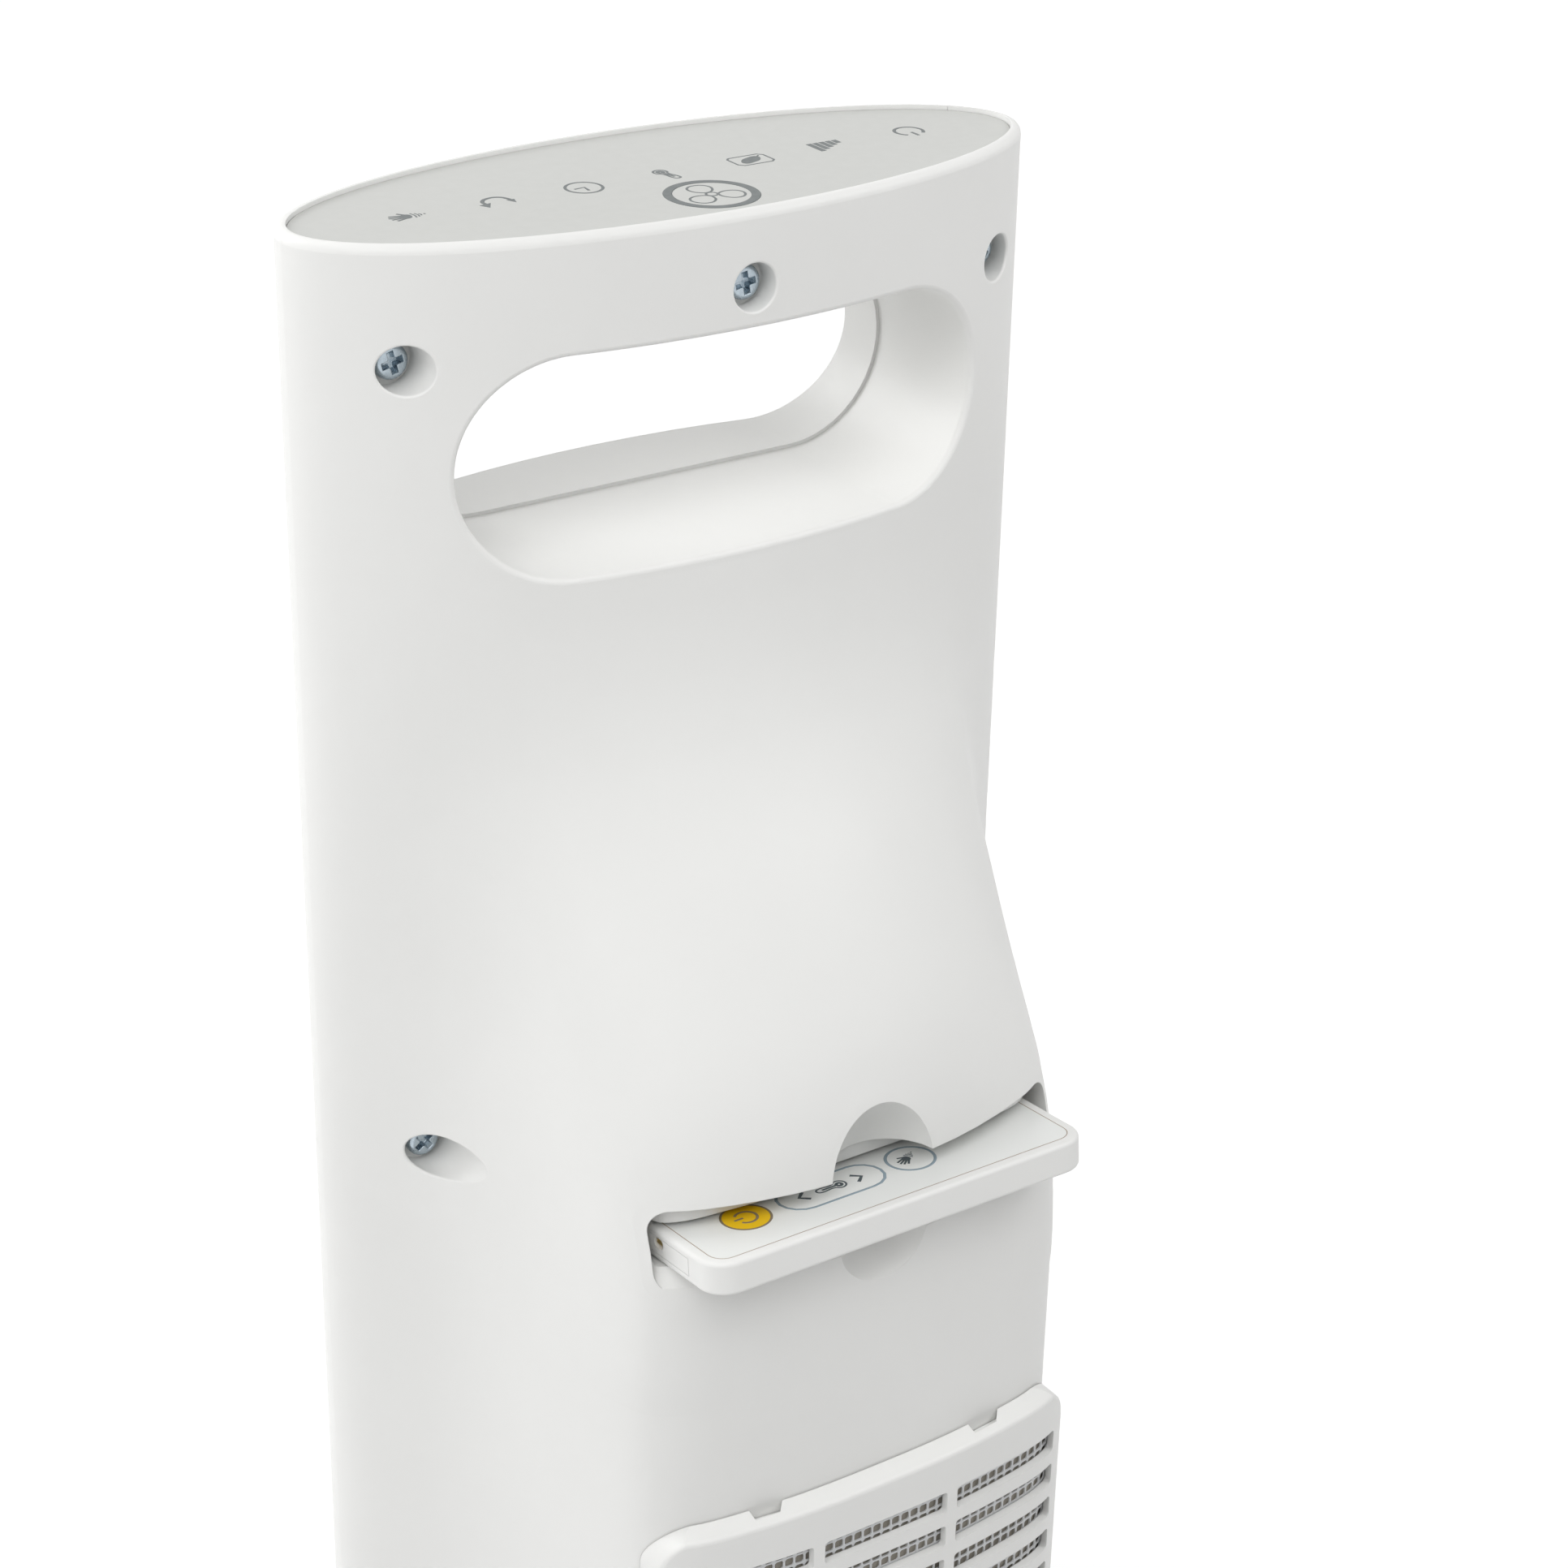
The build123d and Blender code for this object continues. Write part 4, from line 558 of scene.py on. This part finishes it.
yellow_ink = printed("yellow_ink", (0.78, 0.50, 0.004), (0.74, 0.46, 0.004))
brown_ink = printed("brown_ink", (0.20, 0.155, 0.10), (0.23, 0.18, 0.12))
blue_ink = printed("blue_ink", (0.24, 0.31, 0.36), (0.28, 0.35, 0.40))
dark_ink = printed("dark_ink", (0.07, 0.09, 0.10), (0.085, 0.105, 0.115))
edge_ink = printed("edge_ink", (0.36, 0.29, 0.23), (0.40, 0.33, 0.27))

key_radius = 5.8
power_x = 33.5
power_y = -16.4
ink_shape(moved(ring_points(key_radius - 0.05, 24), power_x, power_y))
print_on_handset("power_key", yellow_ink)
ink_line(moved(ring_points(key_radius, 24), power_x, power_y), 0.6, closed=True)
ink_switch(power_x, power_y, -90.0, 2.6, 0.75)
print_on_handset("power_key_lines", brown_ink, lift=0.00002)

oblong_half = 8.2
oblong = moved(arc_points(key_radius, -90, 90, 8), oblong_half, 0.0)
oblong += moved(arc_points(key_radius, 90, 270, 8), -oblong_half, 0.0)
ink_line(moved(oblong, 10.2, -16.5), 0.75, closed=True, handle="VECTOR")
ink_line(moved(ring_points(key_radius, 24), -12.4, -16.7), 0.75, closed=True)
print_on_handset("key_outlines", blue_ink)
ink_line([(16.9, -18.4), (18.9, -16.5), (16.9, -14.6)], 0.95, handle="VECTOR")
ink_line([(3.6, -18.4), (1.6, -16.5), (3.6, -14.6)], 0.95, handle="VECTOR")
ink_thermometer(10.4, -16.4, -90.0, 0.95, 0.5)
ink_hand(-11.6, -17.2, 35.0, 0.8)
print_on_handset("key_glyphs", dark_ink)

border_x = 45.7
border_low = -33.1
border_high = -6.9
border = []
for corner_x, corner_y, start in (
    (-border_x, border_high, 90),
    (-border_x, border_low, 180),
    (border_x, border_low, 270),
    (border_x, border_high, 0),
):
    border += moved(arc_points(4.1, start, start + 90, 6), corner_x, corner_y)
ink_line(border, 0.26, closed=True, handle="VECTOR")
print_on_handset("overlay_line", edge_ink)

# The coin cell's tray, with a rounded slot in its outer end.
contact_y = -0.0234
contact_up = 0.0007
slot_size = (0.003, 0.0036, 0.0026)
slot_corner = 0.0012
bpy.ops.object.select_all(action="DESELECT")
cell_tray = nodes["battery_tray"].copy()
cell_tray.data = nodes["battery_tray"].data.copy()
cell_tray.name = "cell_tray"
bpy.context.collection.objects.link(cell_tray)
cell_tray.select_set(True)
bpy.context.view_layer.objects.active = cell_tray
bpy.ops.object.mode_set(mode="EDIT")
bpy.ops.mesh.select_all(action="SELECT")
bpy.ops.mesh.remove_doubles(threshold=0.000001)
bpy.ops.object.mode_set(mode="OBJECT")
bpy.ops.mesh.primitive_cube_add(size=1.0, scale=slot_size)
slot = bpy.context.object
bpy.ops.object.transform_apply(scale=True)
bpy.ops.object.mode_set(mode="EDIT")
pick_edges(lambda middle, along: abs(along.x) > 0.9)
bpy.ops.mesh.bevel(offset=slot_corner, segments=5)
bpy.ops.object.mode_set(mode="OBJECT")
to_end = (
    Matrix.Translation(handset_seat)
    @ Matrix.Rotation(handset_tilt, 4, "X")
    @ Matrix.Translation((handset_end, contact_y, contact_up))
)
slot.data.transform(to_end)
cut_away(cell_tray, slot)
cell_tray.data.materials.clear()
cell_tray.data.materials.append(white_plastic)
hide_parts("battery_tray")
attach(cell_tray, "handset")

# The contact behind the slot: a leaf of thin brass sheet, rolled to a half round.
contact_radius = 0.0009
contact_length = 0.0032
contact_round = 0.0003
contact_place = (-0.0013, 0.0, -0.0001)
leaf_thickness = 0.00015
bpy.ops.object.select_all(action="DESELECT")
bpy.ops.mesh.primitive_cylinder_add(
    vertices=24, radius=contact_radius, depth=contact_length, rotation=(math.radians(90), 0.0, 0.0)
)
contact = bpy.context.object
contact.name = "brass_contact"
bpy.ops.object.transform_apply(rotation=True)
bpy.ops.object.mode_set(mode="EDIT")
pick_edges(lambda middle, along: abs(middle.y) > contact_length * 0.49 and abs(along.y) < 0.5)
bpy.ops.mesh.bevel(offset=contact_round, segments=3)
pick_faces(lambda middle, normal: normal.x < -0.3)
bpy.ops.mesh.delete(type="FACE")
bpy.ops.object.mode_set(mode="OBJECT")
contact.data.transform(to_end @ Matrix.Translation(contact_place))
leaf_wall = contact.modifiers.new("leaf_wall", "SOLIDIFY")
leaf_wall.thickness = leaf_thickness
bpy.ops.object.modifier_apply(modifier="leaf_wall")
bpy.ops.object.shade_smooth_by_angle(angle=smooth_angle)
contact.data.materials.append(bush_brass)
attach(contact, "handset")

# The slotted rear cover slides off backwards. Behind its slots it holds the air
# filter: a moulded net of small square cells over a fine brownish gauze.
dress(grille_plastic, "filter_cover")
net_pitch = 0.00276
net_bar = 0.0005
net_thickness = 0.0004
net_corner = 0.0004
net_gap = 0.0003
net_columns = 40
net_rows = 81
cell_corners = 8
gauze_gap = 0.0011
gauze_thickness = 0.0002
gauze_rows = 6
thread_scale = 900.0
band_z = 0.3205
window_y = 0.036
screen_low, screen_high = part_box("filter_screen")
net_z = (screen_low[2] + screen_high[2]) / 2
bpy.context.view_layer.update()


def against_cover(piece, gap):
    """Bends an upright sheet to the inside of the cover, a gap away from it."""
    backwards = Vector((0.0, 1.0, 0.0))
    found = {}
    for point in piece.data.vertices:
        across = round(point.co.x, 6)
        if across not in found:
            _, met, _, _ = nodes["filter_cover"].ray_cast(Vector((across, window_y, band_z)), backwards)
            found[across] = met.y
        point.co.y = found[across] - gap


def filter_sheet(name, rows):
    """A flat grid as large as the filter, facing backwards."""
    bpy.ops.object.select_all(action="DESELECT")
    bpy.ops.mesh.primitive_grid_add(
        x_subdivisions=net_columns, y_subdivisions=rows, size=1.0,
        location=(0.0, 0.0, net_z), rotation=(math.radians(-90), 0.0, 0.0),
    )
    sheet = bpy.context.object
    sheet.name = name
    sheet.scale = (net_pitch * net_columns, net_pitch * net_rows, 1.0)
    bpy.ops.object.transform_apply(location=True, rotation=True, scale=True)
    return sheet


def thicken(sheet, name, thickness):
    """Gives a sheet its wall, towards the inside of the heater."""
    wall = sheet.modifiers.new(name, "SOLIDIFY")
    wall.thickness = thickness
    wall.offset = -1.0
    bpy.ops.object.modifier_apply(modifier=name)


screen_white = moulded_plastic("screen_white", (0.72, 0.73, 0.74), (0.68, 0.69, 0.70), 0.4, edge=0.0)
filter_net = filter_sheet("filter_net", net_rows)
bpy.ops.object.mode_set(mode="EDIT")
bpy.ops.mesh.select_mode(type="FACE")
bpy.ops.mesh.select_all(action="SELECT")
bpy.ops.mesh.inset(thickness=net_bar / 2, use_individual=True)
bpy.ops.mesh.bevel(offset=net_corner, segments=1, affect="VERTICES")
bpy.ops.mesh.select_mode(type="FACE")
net_form = bmesh.from_edit_mesh(filter_net.data)
for face in net_form.faces:
    face.select_set(len(face.verts) == cell_corners)
bmesh.update_edit_mesh(filter_net.data)
bpy.ops.mesh.delete(type="FACE")
bpy.ops.object.mode_set(mode="OBJECT")
against_cover(filter_net, net_gap)
thicken(filter_net, "net_wall", net_thickness)
filter_net.data.materials.append(screen_white)
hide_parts("filter_screen")
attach(filter_net, "filter")

gauze_thread, tree, shader, place = new_material("gauze_thread")
crossing = tree.nodes.new("ShaderNodeMath")
crossing.operation = "MULTIPLY"
for side, direction in enumerate(("Z", "X")):
    threads = tree.nodes.new("ShaderNodeTexWave")
    threads.bands_direction = direction
    threads.inputs["Scale"].default_value = thread_scale
    tree.links.new(place, threads.inputs["Vector"])
    tree.links.new(threads.outputs["Fac"], crossing.inputs[side])
tinted(tree, shader, crossing.outputs[0], (0.40, 0.37, 0.32), (0.28, 0.26, 0.225))
shader.inputs["Roughness"].default_value = 0.8
rough_skin(tree, shader, crossing.outputs[0], strength=0.3, distance=0.0001)
filter_gauze = filter_sheet("filter_gauze", gauze_rows)
against_cover(filter_gauze, gauze_gap)
thicken(filter_gauze, "gauze_wall", gauze_thickness)
bpy.ops.object.shade_smooth()
filter_gauze.data.materials.append(gauze_thread)
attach(filter_gauze, "filter")

# The studio: a plain pale floor in a pale room. Both look white to the camera and in
# reflections, and the floor glows less near the heater, where the lamps light it.
floor_size = 12.0
near_glow = 0.2
far_glow = 0.7
near_distance = 0.2
far_distance = 2.2


def where_seen(tree):
    """One where the camera or a reflection looks, and nought for light on the heater."""
    rays = tree.nodes.new("ShaderNodeLightPath")
    seen = tree.nodes.new("ShaderNodeMath")
    seen.operation = "MAXIMUM"
    tree.links.new(rays.outputs["Is Camera Ray"], seen.inputs[0])
    tree.links.new(rays.outputs["Is Glossy Ray"], seen.inputs[1])
    return seen.outputs[0]


bpy.ops.mesh.primitive_plane_add(size=floor_size, location=(0.0, 0.0, 0.0))
floor = bpy.context.object
floor.name = "studio_floor"
floor_paper, tree, shader, place = new_material("floor_paper")
shader.inputs["Roughness"].default_value = 0.9
tinted(tree, shader, grain(tree, place, 6.0), (0.86, 0.86, 0.86), (0.88, 0.88, 0.88))
away = tree.nodes.new("ShaderNodeVectorMath")
away.operation = "LENGTH"
tree.links.new(place, away.inputs[0])
fade = spread(tree, away.outputs["Value"], near_glow, far_glow, near_distance, far_distance)
glow = tree.nodes.new("ShaderNodeMath")
glow.operation = "MULTIPLY"
tree.links.new(where_seen(tree), glow.inputs[0])
tree.links.new(fade, glow.inputs[1])
shader.inputs["Emission Color"].default_value = (1.0, 1.0, 1.0, 1.0)
tree.links.new(glow.outputs[0], shader.inputs["Emission Strength"])
floor.data.materials.append(floor_paper)

# The room's lamps, all large and soft: the key light behind on the left, weaker
# ones around it, and one from the front that lights the handle hole.
tower_middle = Vector((0.0, 0.0, 0.45))
lamp_distance = 1.6
lamp_size = 1.0


def soft_light(name, azimuth, elevation, power):
    """A large square lamp that looks at the tower from a direction in degrees."""
    turn = math.radians(azimuth)
    rise = math.radians(elevation)
    outwards = Vector((math.cos(turn) * math.cos(rise), math.sin(turn) * math.cos(rise), math.sin(rise)))
    bpy.ops.object.light_add(type="AREA", location=tower_middle + lamp_distance * outwards)
    lamp = bpy.context.object
    lamp.name = name
    lamp.data.size = lamp_size
    lamp.data.energy = power
    lamp.rotation_euler = (-outwards).to_track_quat("-Z", "Y").to_euler()
    lamp.visible_camera = False


soft_light("key_light", azimuth=40, elevation=45, power=9.7)
soft_light("left_light", azimuth=0, elevation=15, power=5.4)
soft_light("right_light", azimuth=140, elevation=45, power=8.2)
soft_light("edge_light", azimuth=180, elevation=30, power=1.6)
soft_light("rear_light", azimuth=90, elevation=45, power=1.4)
soft_light("top_light", azimuth=60, elevation=70, power=1.9)
soft_light("front_light", azimuth=300, elevation=30, power=13.4)

room_light = 0.28
room_white = 1.0
world = bpy.data.worlds.new("pale_room")
bpy.context.scene.world = world
world.use_nodes = True
room = world.node_tree
walls = room.nodes["Background"]
walls.inputs["Color"].default_value = (1.0, 1.0, 1.0, 1.0)
strength = room.nodes.new("ShaderNodeMath")
strength.operation = "MULTIPLY_ADD"
strength.inputs[1].default_value = room_white - room_light
strength.inputs[2].default_value = room_light
room.links.new(where_seen(room), strength.inputs[0])
room.links.new(strength.outputs[0], walls.inputs["Strength"])
bpy.context.scene.view_settings.view_transform = "Standard"
